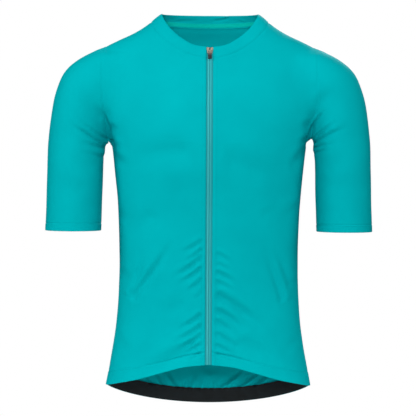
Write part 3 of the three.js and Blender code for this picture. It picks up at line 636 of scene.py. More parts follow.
def pucker(along, distance, height, pitch, reach):
    """Small uneven gathers beside a line of stitches."""
    turn = 2 * math.pi * along
    beat = np.sin(turn / pitch) + SECOND_BEAT * np.sin(turn / (SECOND_PITCH * pitch) + 1.1)
    uneven = 0.6 + 0.4 * np.sin(turn / (SWELL_PITCH * pitch) + 0.7)
    return height * beat * uneven * np.exp(-((distance / reach) ** 2))


# Grids of points on the form


def without(n, drop_x, drop_y):
    """The directions without the part that would carry an edge across the seam it ends on."""
    n = n.copy()
    n[..., 0][np.broadcast_to(drop_x, n.shape[:-1])] = 0
    n[..., 1][np.broadcast_to(drop_y, n.shape[:-1])] = 0
    return unit(n)


def even(t, start):
    """Shares from 0 to 1 whose steps begin at a share of the even step and grow steadily."""
    return t * (start + (1 - start) * t)


ARM_TURNS = 180 * even(np.arange(YOKE_ROWS + 1) / YOKE_ROWS, 0.5)


def neck_turns(face):
    start, bend = (ZIP_TURN, NECK_BEND) if face < 0 else (180.0, 180.0 - NECK_BEND)
    near = start + (bend - start) * np.arange(NECK_COLUMNS) / NECK_COLUMNS
    rows = YOKE_ROWS - NECK_ROW
    side = bend + (90 - bend) * np.arange(rows + 1) / rows
    return np.r_[near, side]


def half_panel(face, start_x, body_rows):
    """The wearer's left half of a trunk panel as columns of points that run up from the hem.
    Rows above the neckline's bend are missing in the columns that end on it."""
    seam = face * SEAM_GAP / 2
    u = even(np.arange(COLUMNS + 1) / COLUMNS, 0.8)
    at_side = u == 1
    turns = neck_turns(face)
    neck = neckline(turns)
    arm_seam = armhole(ARM_TURNS, face, 0)
    arm_seam[:, 1] += seam

    foot_x = start_x + (UNDERARM[0] - start_x) * np.sin(math.pi / 2 * u)
    foot = leave(points(foot_x, seam, UNDERARM_Z), points(0, face, 0))
    foot[-1] = UNDERARM
    origin_x = start_x * (1 - u)
    aim = unit(np.stack([foot[:, 0] - origin_x, np.where(at_side, 0, foot[:, 1] - seam)], axis=-1))

    def on_ring(columns, z):
        """Points of the body at given columns and heights."""
        x, ax, ay = (np.interp(columns, u, values) for values in (origin_x, aim[:, 0], aim[:, 1]))
        return leave(points(x, seam, z), unit(points(ax, ay, 0)), stride=3.0)

    hem = np.full(COLUMNS + 1, float(HEM_SIDE_Z))
    for _ in range(8):
        hem = hem_level(on_ring(u, hem)[:, 0], face)
    near_hem = np.arange(HEM_ROWS) / HEM_ROWS
    above = np.arange(body_rows - HEM_ROWS) / (body_rows - HEM_ROWS)
    t = np.r_[HEM_SHARE * near_hem, mix(HEM_SHARE, 1, above)]
    body = on_ring(u[:, None], mix(hem[:, None], UNDERARM_Z, t[None]))

    def on_form(aimed, inside_z):
        origin = points(aimed[..., 0], seam, inside_z)
        return leave(origin, unit(points(0, aimed[..., 1] - seam, aimed[..., 2] - inside_z)))

    yoke = np.full((COLUMNS + 1, YOKE_ROWS + 1, 3), np.nan)
    out = (np.arange(NECK_COLUMNS, COLUMNS + 1) - NECK_COLUMNS) / (COLUMNS - NECK_COLUMNS)
    upper = np.arange(NECK_ROW, YOKE_ROWS + 1)
    k = NECK_COLUMNS + upper - NECK_ROW
    aimed = mix(neck[k][None], arm_seam[upper][None], out[:, None, None])
    aimed[:, -1, 1] = seam
    yoke[NECK_COLUMNS:, NECK_ROW:] = on_form(aimed, SHOULDER_REACH_Z)
    yoke[:NECK_COLUMNS, NECK_ROW] = neck[:NECK_COLUMNS]

    low = np.arange(1, NECK_ROW)
    t = ARM_TURNS[low] / ARM_TURNS[NECK_ROW]
    curved = arm_seam[low] - mix(UNDERARM[None], arm_seam[NECK_ROW][None], t[:, None])
    aimed = mix(foot[:, None], yoke[:, NECK_ROW][:, None], t[None, :, None])
    aimed = aimed + curved[None] * (u**2)[:, None, None]
    yoke[:, 1:NECK_ROW] = on_form(aimed, mix(UNDERARM_Z, SHOULDER_REACH_Z, t)[None])
    yoke[:, 0] = foot
    yoke[-1] = arm_seam
    yoke[NECK_COLUMNS, NECK_ROW:] = neck[NECK_COLUMNS:]
    yoke[NECK_COLUMNS:, -1, 1] = seam

    p = np.concatenate([body, yoke], axis=1)
    n = outward(p)
    through = neck_seam(turns)[4]
    neck_row = body_rows + NECK_ROW
    n[:NECK_COLUMNS, neck_row] = through[:NECK_COLUMNS]
    n[NECK_COLUMNS, neck_row:] = through[NECK_COLUMNS:]
    columns, rows = np.meshgrid(np.arange(COLUMNS + 1), np.arange(p.shape[1]), indexing="ij")
    middle = (columns == 0) & (start_x > 0)
    side = columns == COLUMNS
    top = rows == body_rows + YOKE_ROWS
    n = without(n, middle | (side & (rows >= body_rows)), top | (side & (rows <= body_rows)))
    return {"p": p, "n": n, "hem": hem, "u": u, "on_ring": on_ring, "face": face, "neck_row": neck_row}


def sleeve_grid():
    """The wearer's left sleeve: columns round the arm from the underarm by the front, with
    rows from the armhole down to the cuff, and a function for more rings."""

    def rings(share):
        share = np.atleast_1d(share).astype(float)
        in_z = mix(UNDERARM_Z, CUFF_Z, share)
        middle_x = (arm_inner(in_z) + arm_outer(in_z)) / 2
        under = leave(points(middle_x, 0, in_z), points(-1, 0, 0), stride=0.5)
        under[share == 0] = UNDERARM
        upright = math.atan2(SHOULDER[2] - UNDERARM[2], SHOULDER[0] - UNDERARM[0])
        lift = upright * (1 - smooth(share / LEVEL_FROM))
        across = points(np.cos(lift), 0, np.sin(lift))
        over = leave(under + across * 20, across, stride=2.0)
        over[share == 0] = SHOULDER
        middle, across = (under + over) / 2, unit(over - under)
        follow = 1 - smooth(share / CURVED_TO)
        drop = CUFF_FRONT_DROP * smooth((share - CUFF_DROP_FROM) / (1 - CUFF_DROP_FROM))

        around = np.arange(2 * YOKE_ROWS)
        front = around <= YOKE_ROWS
        face = np.where(front, -1, 1)
        half = ARM_TURNS[np.minimum(around, 2 * YOKE_ROWS - around)]
        c, s = np.cos(np.radians(half)), np.sin(np.radians(half))
        way = -across[None] * c[:, None, None] + points(0, face * s, 0)[:, None]
        origin = np.broadcast_to(middle[None], way.shape)
        ring = np.broadcast_to(np.arange(len(share))[None], way.shape[:2]).reshape(-1)

        def bend(q, rows):
            i = ring[rows]
            up = (q[:, 2] - UNDERARM[2]) / (SHOULDER[2] - UNDERARM[2])
            straight = mix(UNDERARM[0], SHOULDER[0], up)
            q[:, 0] += follow[i] * (armhole_x(q[:, 2]) - straight) * smooth(8 * up + 1)
            q[:, 2] += drop[i] * q[:, 1] / ARM_DEPTH
            return q

        p = leave(origin, way, bend, stride=2.0)
        for i in np.flatnonzero(share == 0):
            p[front, i] = armhole(half[front], -1, SEAM_GAP)
            p[~front, i] = armhole(half[~front], 1, SEAM_GAP)
        n = without(outward(p), (share == 0)[None], False)
        return p, n

    upper = np.arange(SLEEVE_ROWS - CUFF_ROWS) / (SLEEVE_ROWS - CUFF_ROWS)
    cuff = np.arange(CUFF_ROWS + 1) / CUFF_ROWS
    t = np.r_[CUFF_FROM * upper, mix(CUFF_FROM, 1, cuff)]
    p, n = rings(CURVED_TO * t * t + (1 - CURVED_TO) * t)
    return {"p": p, "n": n, "rings": rings}


def collar_column(turn, share):
    """Points of the collar at some turns of the neck, at shares of the way up to its edge."""
    turn, share = np.broadcast_arrays(np.asarray(turn, float), np.asarray(share, float))
    foot, height, rise, out, through, apart = neck_seam(turn)
    start = foot + apart * SEAM_GAP
    fullness = COLLAR_BULGE * smooth((turn - ZIP_TURN) / BULGE_TURN)
    bulge = 4 * fullness * share * (1 - share)
    p = start + rise * ((height - SEAM_GAP) * share)[..., None] + out * bulge[..., None]
    n = np.where((share == 0)[..., None], through, out)
    return p, without(n, turn == ZIP_TURN, False)


def mirrored(p):
    return p * np.array([-1, 1, 1])


def both_halves(half, other):
    """A grid whose first column is the middle, together with its other half before it."""
    return np.concatenate([other[:0:-1], half])


def free_edges(grid, *edges):
    """Which points of a grid lie on the edges, given as indexes, that no seam holds."""
    free = np.zeros(grid.shape[:2], bool)
    for edge in edges:
        free[edge] = True
    return free


def around_neck(turns, shares):
    """A grid round the neck from the wearer's right to the left, with the back in the middle."""
    p, n = collar_column(turns[:, None], np.asarray(shares)[None])
    ends_at_back = turns[-1] == 180
    left = slice(None, -1) if ends_at_back else slice(None)
    return (
        np.concatenate([mirrored(p[left]), p[::-1]]),
        np.concatenate([mirrored(n[left]), n[::-1]]),
    )


# Meshes

ALL = slice(None)
SHARP_ANGLE = math.radians(55)

# How far a folded edge is rolled out beyond the cloth's two faces.
HEM_ROLL = 0.45
CUFF_ROLL = 0.5
COLLAR_ROLL = 0.6
BINDING_ROLL = 0.4

parts = bpy.data.collections.new("jersey")
bpy.context.scene.collection.children.link(parts)


def add_mesh(name, vertices, faces, knit=None):
    """A smooth mesh object from points in millimetres. knit is each point's place in the cloth,
    in millimetres across and along it."""
    mesh = bpy.data.meshes.new(name)
    mesh.from_pydata((vertices * MM).tolist(), [], faces)
    mesh.update()
    if knit is not None:
        place = mesh.attributes.new("knit", "FLOAT_VECTOR", "POINT")
        place.data.foreach_set("vector", np.ascontiguousarray(knit, dtype=np.float32).reshape(-1))
    mesh.polygons.foreach_set("use_smooth", np.ones(len(mesh.polygons), bool))
    mesh.set_sharp_from_angle(angle=SHARP_ANGLE)
    piece = bpy.data.objects.new(name, mesh)
    parts.objects.link(piece)
    return piece


def shell(name, outer, inner, ring=False, round_edge=0.0, free=None):
    """Two sheets of points as one closed wall. Points that are missing in a grid are NaN.
    round_edge carries the rim out, where free says so, so that a folded edge looks rolled."""
    there = ~np.isnan(outer[..., 0])
    index = np.full(there.shape, -1)
    index[there] = np.arange(there.sum())
    a = np.arange(index.shape[0] - (0 if ring else 1))
    b = (a + 1) % index.shape[0]
    quads = np.stack([index[a, :-1], index[b, :-1], index[b, 1:], index[a, 1:]], axis=-1).reshape(-1, 4)
    quads = quads[(quads >= 0).all(axis=1)]
    top, bottom = outer[there], inner[there]
    count = len(top)

    across = np.zeros(index.shape)
    steps = np.linalg.norm(np.diff(np.nan_to_num(outer), axis=0), axis=-1)
    across[1:] = np.cumsum(steps[:, : index.shape[1]], axis=0)
    middle = index.shape[1] // 2
    across = np.broadcast_to(across[:, middle : middle + 1] - across[-1, middle] / 2, index.shape)
    along = np.zeros(index.shape)
    along[:, 1:] = np.cumsum(np.linalg.norm(np.diff(np.nan_to_num(outer), axis=1), axis=-1), axis=1)
    knit = np.stack([across, along, np.zeros(index.shape)], axis=-1)[there]

    sides = np.concatenate([quads[:, [k, (k + 1) % 4]] for k in range(4)])
    key = np.sort(sides, axis=1) @ np.array([count, 1])
    _, first, times = np.unique(key, return_index=True, return_counts=True)
    rim = sides[first[times == 1]]

    corner = top[quads]
    way = np.cross(corner[:, 1] - corner[:, 0], corner[:, 2] - corner[:, 0])
    flipped = np.einsum("ij,ij->i", way, (top - bottom)[quads[:, 0]]).sum() < 0

    rolled = np.zeros((count, 3))
    edge = unit(np.cross(top[rim[:, 1]] - top[rim[:, 0]], (top - bottom)[rim[:, 0]]))
    if flipped:
        edge = -edge
    for k in range(2):
        np.add.at(rolled, rim[:, k], edge)
    rolled = unit(rolled) * round_edge
    if free is not None:
        rolled[~free[there]] = 0
    used = np.unique(rim)
    place = np.full(count, -1)
    place[used] = 2 * count + np.arange(len(used))
    between = ((top + bottom) / 2 + rolled)[used]

    f, t = rim[:, 0], rim[:, 1]
    faces = np.concatenate([
        quads,
        quads[:, ::-1] + count,
        np.stack([t, f, place[f], place[t]], axis=-1),
        np.stack([place[t], place[f], f + count, t + count], axis=-1),
    ])
    if flipped:
        faces = faces[:, ::-1]
    vertices = np.concatenate([top, bottom, between])
    return add_mesh(name, vertices, faces.tolist(), np.concatenate([knit, knit, knit[used]]))


def seam_distance(p, column=None, row=None):
    """How far each point of a grid is from the seam at the end of its row or its column."""
    if column is not None:
        return np.linalg.norm(p - p[column : column + 1 or None], axis=-1)
    return np.linalg.norm(p - p[:, row : row + 1 or None], axis=-1)


# A stitch's sides, how flat it is, and its rings as places along it and shares of its width.
STITCH_SIDES = 5
STITCH_FLATNESS = 0.7
STITCH_SINKS = 0.3
STITCH_RINGS = ((-0.5, 0.35), (-0.36, 0.95), (0.36, 0.95), (0.5, 0.35))


def stitches(name, lines, length=2.3, gap=0.9, width=0.42, lift=0.12):
    """Short threads that lie end to end along lines of points with the ways out of the cloth."""
    angle = 2 * math.pi * np.arange(STITCH_SIDES) / STITCH_SIDES
    vertices, faces = [], []
    for line, out in lines:
        run = np.r_[0, np.cumsum(np.linalg.norm(np.diff(line, axis=0), axis=1))]
        count = int(run[-1] // (length + gap))
        start = (np.arange(count) + 0.5) * (length + gap)

        def at(distance, values):
            return np.stack([np.interp(distance, run, values[:, k]) for k in range(3)], axis=-1)

        way = unit(at(start + length / 2, line) - at(start - length / 2, line))
        normal = unit(at(start, out))
        side = np.cross(way, normal)
        centre = at(start, line) + normal * lift
        rings = []
        for along, size in STITCH_RINGS:
            across = side[:, None] * np.cos(angle)[None, :, None]
            upwards = normal[:, None] * np.sin(angle)[None, :, None] * STITCH_FLATNESS
            sunk = normal * (STITCH_SINKS * abs(along) ** 2 * 4 * width)
            middle = (centre + way * along * length - sunk)[:, None]
            rings.append(middle + (across + upwards) * size * width / 2)
        block = np.stack(rings, axis=1)
        first = sum(len(v) for v in vertices)
        vertices.append(block.reshape(-1, 3))
        size = len(STITCH_RINGS) * STITCH_SIDES
        for s in range(count):
            base = first + s * size
            for r in range(len(STITCH_RINGS) - 1):
                for k in range(STITCH_SIDES):
                    ring = base + r * STITCH_SIDES
                    a, b = ring + k, ring + (k + 1) % STITCH_SIDES
                    faces.append([a, b, b + STITCH_SIDES, a + STITCH_SIDES])
            faces.append([base + k for k in reversed(range(STITCH_SIDES))])
            faces.append([base + size - STITCH_SIDES + k for k in range(STITCH_SIDES)])
    return add_mesh(name, np.concatenate(vertices), faces)


# Materials


def material(name):
    """A new material, its node tree and its shader."""
    made = bpy.data.materials.new(name)
    made.use_nodes = True
    return made, made.node_tree, made.node_tree.nodes["Principled BSDF"]


def set_inputs(target, values):
    for name, value in values.items():
        target.inputs[name].default_value = value


def node(tree, kind, **values):
    made = tree.nodes.new(kind)
    for name, value in values.items():
        setattr(made, name, value)
    return made


def math_node(tree, operation, a, b=None):
    made = node(tree, "ShaderNodeMath", operation=operation)
    for socket, value in zip(made.inputs, (a, b)):
        if value is None:
            continue
        if isinstance(value, (int, float)):
            socket.default_value = value
        else:
            tree.links.new(value, socket)
    return made.outputs[0]


def sine(tree, value, times):
    return math_node(tree, "SINE", math_node(tree, "MULTIPLY", value, times))


def place_in_cloth(tree):
    """Distances across and along the cloth in millimetres, from the mesh's own values."""
    place = node(tree, "ShaderNodeAttribute", attribute_name="knit")
    split = node(tree, "ShaderNodeSeparateXYZ")
    tree.links.new(place.outputs["Vector"], split.inputs[0])
    return split.outputs["X"], split.outputs["Y"]


def noise(tree, scale, detail=2.0, vector=None):
    """Noise in object coordinates, which are metres. scale is the number of lumps in a metre."""
    made = node(tree, "ShaderNodeTexNoise")
    set_inputs(made, {"Scale": scale, "Detail": detail})
    if vector is None:
        vector = node(tree, "ShaderNodeTexCoord").outputs["Object"]
    tree.links.new(vector, made.inputs["Vector"])
    return made.outputs["Fac"]


def ramp(tree, value, stops):
    made = node(tree, "ShaderNodeValToRGB")
    band = made.color_ramp
    while len(band.elements) < len(stops):
        band.elements.new(0.5)
    for element, (place, colour) in zip(band.elements, stops):
        element.position = place
        element.color = (*colour, 1)
    tree.links.new(value, made.inputs[0])
    return made.outputs[0]


def bump(tree, shader, height, distance, strength):
    made = node(tree, "ShaderNodeBump")
    set_inputs(made, {"Strength": strength, "Distance": distance})
    tree.links.new(height, made.inputs["Height"])
    tree.links.new(made.outputs[0], shader.inputs["Normal"])


def linear(red, green, blue):
    """A colour as the shader wants it, from the 0 to 255 values that a screen shows."""
    shares = [v / 255 for v in (red, green, blue)]
    return tuple(v / 12.92 if v <= 0.04045 else ((v + 0.055) / 1.055) ** 2.4 for v in shares)


WALE = 0.85
COURSE = 0.62
LOOP_LEAN = 1.1
LOOP_SHARE = 0.45
KNIT_SHINE = 0.015
KNIT_RELIEF = 0.06 * MM
METAL_RELIEF = 0.03 * MM
RIB_PITCH = 1.7
RIB_THREAD = 0.8
TWILL_PITCH = 0.7
TWILL_SLOPE = 1.4

# Lumps in a metre of the colour, the wear and the metal's surface.
COLOUR_LUMPS = 14
WEAR_LUMPS = 420
METAL_LUMPS = 5200
TAB_PALE_Z = -49
TAB_DARK_Z = -58
SLIDER_SIDE = 7.0


def knit_height(tree, wale, course):
    """Columns of small loops, each leaning the way that the stitches of plain knit do."""
    across, along = place_in_cloth(tree)
    column = math_node(tree, "PINGPONG", math_node(tree, "DIVIDE", across, wale), 0.5)
    lean = math_node(tree, "MULTIPLY", column, LOOP_LEAN)
    step = math_node(tree, "ADD", math_node(tree, "DIVIDE", along, course), lean)
    loop = sine(tree, step, 2 * math.pi)
    rib = sine(tree, column, 2 * math.pi)
    return math_node(tree, "ADD", math_node(tree, "MULTIPLY", loop, LOOP_SHARE), rib)


def knit_material(name, deep, light, wale=WALE, course=COURSE, roughness=0.62):
    made, tree, shader = material(name)
    colour = ramp(tree, noise(tree, COLOUR_LUMPS, 3), [(0.25, linear(*deep)), (0.75, linear(*light))])
    tree.links.new(colour, shader.inputs["Base Color"])
    worn = noise(tree, WEAR_LUMPS, 2)
    rough = node(tree, "ShaderNodeMapRange")
    set_inputs(rough, {"To Min": roughness - 0.06, "To Max": roughness + 0.06})
    tree.links.new(worn, rough.inputs["Value"])
    tree.links.new(rough.outputs[0], shader.inputs["Roughness"])
    set_inputs(shader, {
        "Specular IOR Level": KNIT_SHINE,
        "Specular Tint": (0.2, 1.0, 1.0, 1),
        "Sheen Weight": 0.07,
        "Sheen Roughness": 0.45,
        "Sheen Tint": (0.0, 0.75, 0.8, 1),
    })
    bump(tree, shader, knit_height(tree, wale, course), KNIT_RELIEF, 0.5)
    return made


def gripper_material():
    """Black elastic with fine ribs along it and finer threads across them."""
    made, tree, shader = material("gripper_elastic")
    across, along = place_in_cloth(tree)
    rib = sine(tree, along, 2 * math.pi / RIB_PITCH)
    thread = sine(tree, across, 2 * math.pi / RIB_THREAD)
    height = math_node(tree, "ADD", rib, math_node(tree, "MULTIPLY", thread, 0.35))
    colour = ramp(tree, noise(tree, 60, 3), [(0.3, linear(8, 14, 17)), (0.7, linear(15, 23, 27))])
    tree.links.new(colour, shader.inputs["Base Color"])
    set_inputs(shader, {
        "Roughness": 0.7,
        "Specular IOR Level": 0.3,
    })
    bump(tree, shader, height, 0.25 * MM, 0.6)
    return made


def tape_material(name, painted_crest_highlight):
    """Woven tape with painted light: a painted highlight over the two rows of the coil, painted shade
    at the tapes' middle and a painted shadow line where the cloth's edge lies over it.
    """
    made, tree, shader = material(name)
    across, along = place_in_cloth(tree)
    colour = ramp(
        tree,
        math_node(tree, "DIVIDE", across, ZIP_TAPE),
        [
            (0.0, linear(20, 140, 150)),
            (0.05, linear(40, 172, 180)),
            (0.1, linear(*painted_crest_highlight)),
            (0.2, linear(*painted_crest_highlight)),
            (0.28, linear(30, 168, 176)),
            (0.36, linear(24, 166, 174)),
            (0.45, linear(0, 96, 108)),
            (1.0, linear(4, 150, 158)),
        ],
    )
    tree.links.new(colour, shader.inputs["Base Color"])
    twill = math_node(tree, "ADD", math_node(tree, "MULTIPLY", across, TWILL_SLOPE), along)
    height = sine(tree, twill, 2 * math.pi / TWILL_PITCH)
    set_inputs(shader, {
        "Roughness": 0.5,
        "Specular IOR Level": 0.25,
    })
    bump(tree, shader, height, 0.12 * MM, 0.5)
    return made


def metal(name):
    """Worn enamelled metal, with its place in the part as separate distances in metres."""
    made, tree, shader = material(name)
    place = node(tree, "ShaderNodeSeparateXYZ")
    tree.links.new(node(tree, "ShaderNodeTexCoord").outputs["Object"], place.inputs[0])
    set_inputs(shader, {
        "Roughness": 0.42,
        "Metallic": 0.6,
    })
    bump(tree, shader, noise(tree, METAL_LUMPS, 2), METAL_RELIEF, 0.35)
    return made, tree, shader, place


def slider_material():
    """Dark along the slider's middle and towards its sides."""
    made, tree, shader, place = metal("slider_enamel")
    aside = math_node(tree, "ABSOLUTE", place.outputs["X"])
    uneven = math_node(tree, "MULTIPLY", math_node(tree, "SUBTRACT", noise(tree, 700, 3), 0.5), 0.6)
    share = math_node(tree, "ADD", math_node(tree, "DIVIDE", aside, SLIDER_SIDE * MM), uneven)
    stops = [
        (0.06, linear(70, 62, 56)),
        (0.3, linear(156, 146, 132)),
        (0.62, linear(150, 140, 126)),
        (1.0, linear(88, 80, 72)),
    ]
    tree.links.new(ramp(tree, share, stops), shader.inputs["Base Color"])
    return made


def tab_material():
    """Pale at the slider and almost black at the tab's free end."""
    made, tree, shader, place = metal("tab_enamel")
    down = node(tree, "ShaderNodeMapRange")
    set_inputs(down, {"From Min": TAB_PALE_Z * MM, "From Max": TAB_DARK_Z * MM})
    tree.links.new(place.outputs["Z"], down.inputs["Value"])
    stops = [(0.0, linear(150, 138, 126)), (0.55, linear(86, 80, 76)), (1.0, linear(30, 34, 38))]
    tree.links.new(ramp(tree, down.outputs[0], stops), shader.inputs["Base Color"])
    return made


KNIT = knit_material("jersey_knit", (0, 178, 186), (0, 186, 193))
KNIT_INSIDE = knit_material("jersey_knit_tape", (0, 198, 184), (10, 210, 196), 1.1, 0.9)
GRIPPER = gripper_material()
BINDING = knit_material("binding_elastic", (0, 160, 168), (0, 170, 178), 1.4, 1.1)
THREAD = knit_material("thread", (0, 160, 168), (0, 172, 180), 0.3, 0.4, 0.5)
# The two tapes are lit and shaded copies of one weave: the right tape, nearer the lamp on that side,
# has a brighter painted highlight, and the left tape a dimmer one.
TAPE_LEFT_DIM_PAINTED_LIGHT = tape_material("zip_tape_left_weave_dim_painted_light", (46, 184, 190))
TAPE_RIGHT_BRIGHT_PAINTED_LIGHT = tape_material("zip_tape_right_weave_bright_painted_light", (62, 196, 201))
SLIDER = slider_material()
TAB = tab_material()


def finish_piece(piece, made, slot, *nodes, body="jersey"):
    """Gives a piece its material and its body, and hides the solids that it stands for."""
    piece.data.materials.append(made)
    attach(piece, body)
    if nodes:
        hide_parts(*nodes)
    return piece


# Trunk panels

STITCH_FROM_ZIP = 12.7

# Creases of the trunk fade where the cloth turns away to the side, by the depth it has there.
FADE_FROM_Y = 6
FADE_OVER = 34

# Creases start this far from the zip's middle and reach their depth over this distance. Over
# the tape they stay shallower than the cloth beside it.
CREASE_FROM_ZIP = 6.5
CREASE_RISE = 11
ROOM_OVER_TAPE = 1.5
ROOM_GROWS = 0.8

# Gathers beside the zip: their distance from its middle, and, for all of it and for its lower
# part, height, pitch and reach.
GATHER_AT = 10
GATHERS = (0.16, 8.6, 7.0)
LOW_GATHERS = (0.26, 6.3, 8.0)
LOW_FROM_Z = -470

# The front hem's stitched line is deeper near the zip, and the double cloth below it is prouder.
HEM_NEAR_ZIP = 66
HEM_LINE_REACH = 1.7
HEM_LINE_DEPTH = 0.6
HEM_LINE_DEEPER = 2.8
HEM_PROUD = 0.35
HEM_PROUDER = 0.4

# Height of the front hem's stitched line above the hem's edge.
HEM_LINE = table("x rise", (0, 22.5), (62, 18), (125, 21), (184, 23))
hem_line = curve(HEM_LINE, "rise", "x")


def hem_relief(p):
    """The front's turned-up hem: a stitched line with the double cloth standing proud below it."""
    across = np.abs(p[..., 0])
    up = p[..., 2] - front_hem(np.minimum(across, trunk_half(HEM_SIDE_Z)))
    below = hem_line(across) - up
    near = np.exp(-((across / HEM_NEAR_ZIP) ** 2))
    beside_zip = smooth((across - 12.5) / 5)
    line = HEM_LINE_DEPTH + HEM_LINE_DEEPER * near * beside_zip
    line = line * np.exp(-((below / HEM_LINE_REACH) ** 2))
    return line - (HEM_PROUD + HEM_PROUDER * near) * smooth(below / 2.4)


def panel_depth(rows, face, p):
    """How far a trunk panel's cloth is pushed in: its creases, its wander and, at the front,
    the gathers beside the zip and the hem."""
    across = np.abs(p[..., 0])
    depth = crease_depth(rows, p) * smooth((np.abs(p[..., 1]) - FADE_FROM_Y) / FADE_OVER)
    if face > 0:
        return depth + wander(p)
    room = ROOM_OVER_TAPE + ROOM_GROWS * np.maximum(across - ZIP_TAPE, 0)
    depth = np.minimum(depth * smooth((across - CREASE_FROM_ZIP) / CREASE_RISE), room) + wander(p)
    beside = np.abs(across - GATHER_AT)
    depth = depth + pucker(p[..., 2], beside, *GATHERS)
    low = smooth((LOW_FROM_Z - p[..., 2]) / 60)
    return depth + low * pucker(p[..., 2] + 3, beside, *LOW_GATHERS) + hem_relief(p)


# The neck seam's extra valley, and the valley and the swell at the zip.
FAR = 1e3
VALLEY_REACH = 1.1
NECK_VALLEY = 0.4
ZIP_VALLEY = 0.7
ZIP_SWELL = 0.3


def seam_relief(panel, joins_zip):
    """Valleys along the seams at a half panel's side, armhole, shoulder and neck."""
    p, neck_row = panel["p"], panel["neck_row"]
    rim = seam_distance(p, column=-1)
    rim[NECK_COLUMNS:] = np.minimum(rim[NECK_COLUMNS:], seam_distance(p[NECK_COLUMNS:], row=-1))
    near = p[:NECK_COLUMNS]
    foot = near[:, neck_row]
    rim[:NECK_COLUMNS] = np.linalg.norm(near - foot[:, None], axis=-1)
    upper = p[NECK_COLUMNS:, neck_row:]
    beside = rim[NECK_COLUMNS:, neck_row:]
    beside[:] = np.minimum(beside, np.linalg.norm(upper - upper[:1], axis=-1))
    neck = np.full(rim.shape, FAR)
    neck[:NECK_COLUMNS] = rim[:NECK_COLUMNS]
    neck[NECK_COLUMNS:, neck_row:] = np.linalg.norm(upper - upper[:1], axis=-1)
    depth = groove(rim) + NECK_VALLEY * np.exp(-((neck / VALLEY_REACH) ** 2))
    if joins_zip:
        edge = np.full(rim.shape, FAR)
        rows = neck_row + 1
        edge[:, :rows] = seam_distance(p[:, :rows], column=0)
        depth = depth + ZIP_VALLEY * np.exp(-((edge / VALLEY_REACH) ** 2))
        depth = depth - ZIP_SWELL * np.exp(-(((edge - 3.4) / 2.4) ** 2))
    return depth


def flip_panel(panel):
    return {**panel, "p": mirrored(panel["p"]), "n": mirrored(panel["n"])}


front_outer, sleeve_outer, sleeve_ways = {}, {}, {}


def front_piece(name, panel, rows, relief):
    p, n = panel["p"], panel["n"]
    outer = pushed(p, n, panel_depth(rows, -1, p) + relief)
    front_outer[1 if p[-1, 0, 0] > 0 else -1] = outer
    free = free_edges(p, (ALL, 0), 0)
    return shell(name, outer, outer - n * CLOTH, round_edge=HEM_ROLL, free=free)


front_half = half_panel(-1, ZIP_HALF, FRONT_ROWS)
back_half = half_panel(1, 0, BACK_ROWS)
front_relief = seam_relief(front_half, True)
back_relief = seam_relief(back_half, False)

front_left = front_piece("front_left_cloth", front_half, FRONT_LEFT_CREASES, front_relief)
front_right = front_piece(
    "front_right_cloth", flip_panel(front_half), FRONT_RIGHT_CREASES, front_relief
)
finish_piece(front_left, KNIT, "knit", "front_left")
finish_piece(front_right, KNIT, "knit", "front_right")

back_p = both_halves(back_half["p"], mirrored(back_half["p"]))
back_n = both_halves(back_half["n"], mirrored(back_half["n"]))
whole_relief = both_halves(back_relief, back_relief)


def back_depth(p):
    return panel_depth(BACK_CREASES, 1, p)


back_outer = pushed(back_p, back_n, back_depth(back_p) + whole_relief)
free = free_edges(back_p, (ALL, 0))
back = shell("back_cloth", back_outer, back_outer - back_n * CLOTH, round_edge=HEM_ROLL, free=free)
finish_piece(back, KNIT, "knit", "back")

# Sleeves

CUFF_STITCH = 12.0

sleeve = sleeve_grid()


def cuff_relief(p):
    """The cuff's turned-up hem stands slightly proud below its stitches."""
    up = p[..., 2] - CUFF_Z
    line = np.exp(-(((up - CUFF_STITCH) / 0.9) ** 2))
    return 0.45 * line - 0.25 * smooth((CUFF_STITCH - up) / 1.5)


sleeve_seam = groove(
    np.minimum(seam_distance(sleeve["p"], row=0), seam_distance(sleeve["p"], column=0))
)


def sleeve_piece(name, grid, flip):
    p, n = (mirrored(grid["p"]), mirrored(grid["n"])) if flip else (grid["p"], grid["n"])
    outer = pushed(p, n, wander(p) + sleeve_seam + cuff_relief(p))
    sleeve_outer[-1 if flip else 1], sleeve_ways[-1 if flip else 1] = outer, n
    free = free_edges(p, (ALL, -1))
    return shell(name, outer, outer - n * CLOTH, ring=True, round_edge=CUFF_ROLL, free=free)


sleeve_left = sleeve_piece("sleeve_left_cloth", sleeve, False)
sleeve_right = sleeve_piece("sleeve_right_cloth", sleeve, True)
finish_piece(sleeve_left, KNIT, "knit", "sleeve_left")
finish_piece(sleeve_right, KNIT, "knit", "sleeve_right")

# Collar and the tape over its seam

COLLAR_ROLL_FROM = 0.86
ROLL_CLOSES = 1.6

neck_all = np.r_[neck_turns(-1), neck_turns(1)[::-1][1:]]
shares = np.arange(COLLAR_ROWS + 1) / COLLAR_ROWS
collar_p, collar_n = around_neck(neck_all, shares)
top_roll = 0.5 * smooth((shares - COLLAR_ROLL_FROM) / 0.14)
foot_groove = groove(shares * 24, 0.75, 1.4)
ripple = 0.25 * unevenness(collar_p * 3) * smooth(shares / 0.3)[None]
inside_crease = (collar_p[..., 1] > 0) * crease_depth(COLLAR_CREASES, collar_p)
depth = (top_roll + foot_groove)[None] + ripple + WANDER * unevenness(collar_p) + inside_crease
collar_outer = collar_p - collar_n * depth[..., None]
free = free_edges(collar_p, (ALL, -1), 0, -1)
collar_inner = collar_outer - collar_n * (COLLAR_CLOTH - top_roll[None, :, None] * ROLL_CLOSES)
collar = shell("collar_band", collar_outer, collar_inner, round_edge=COLLAR_ROLL, free=free)
finish_piece(collar, KNIT, "knit", "collar")

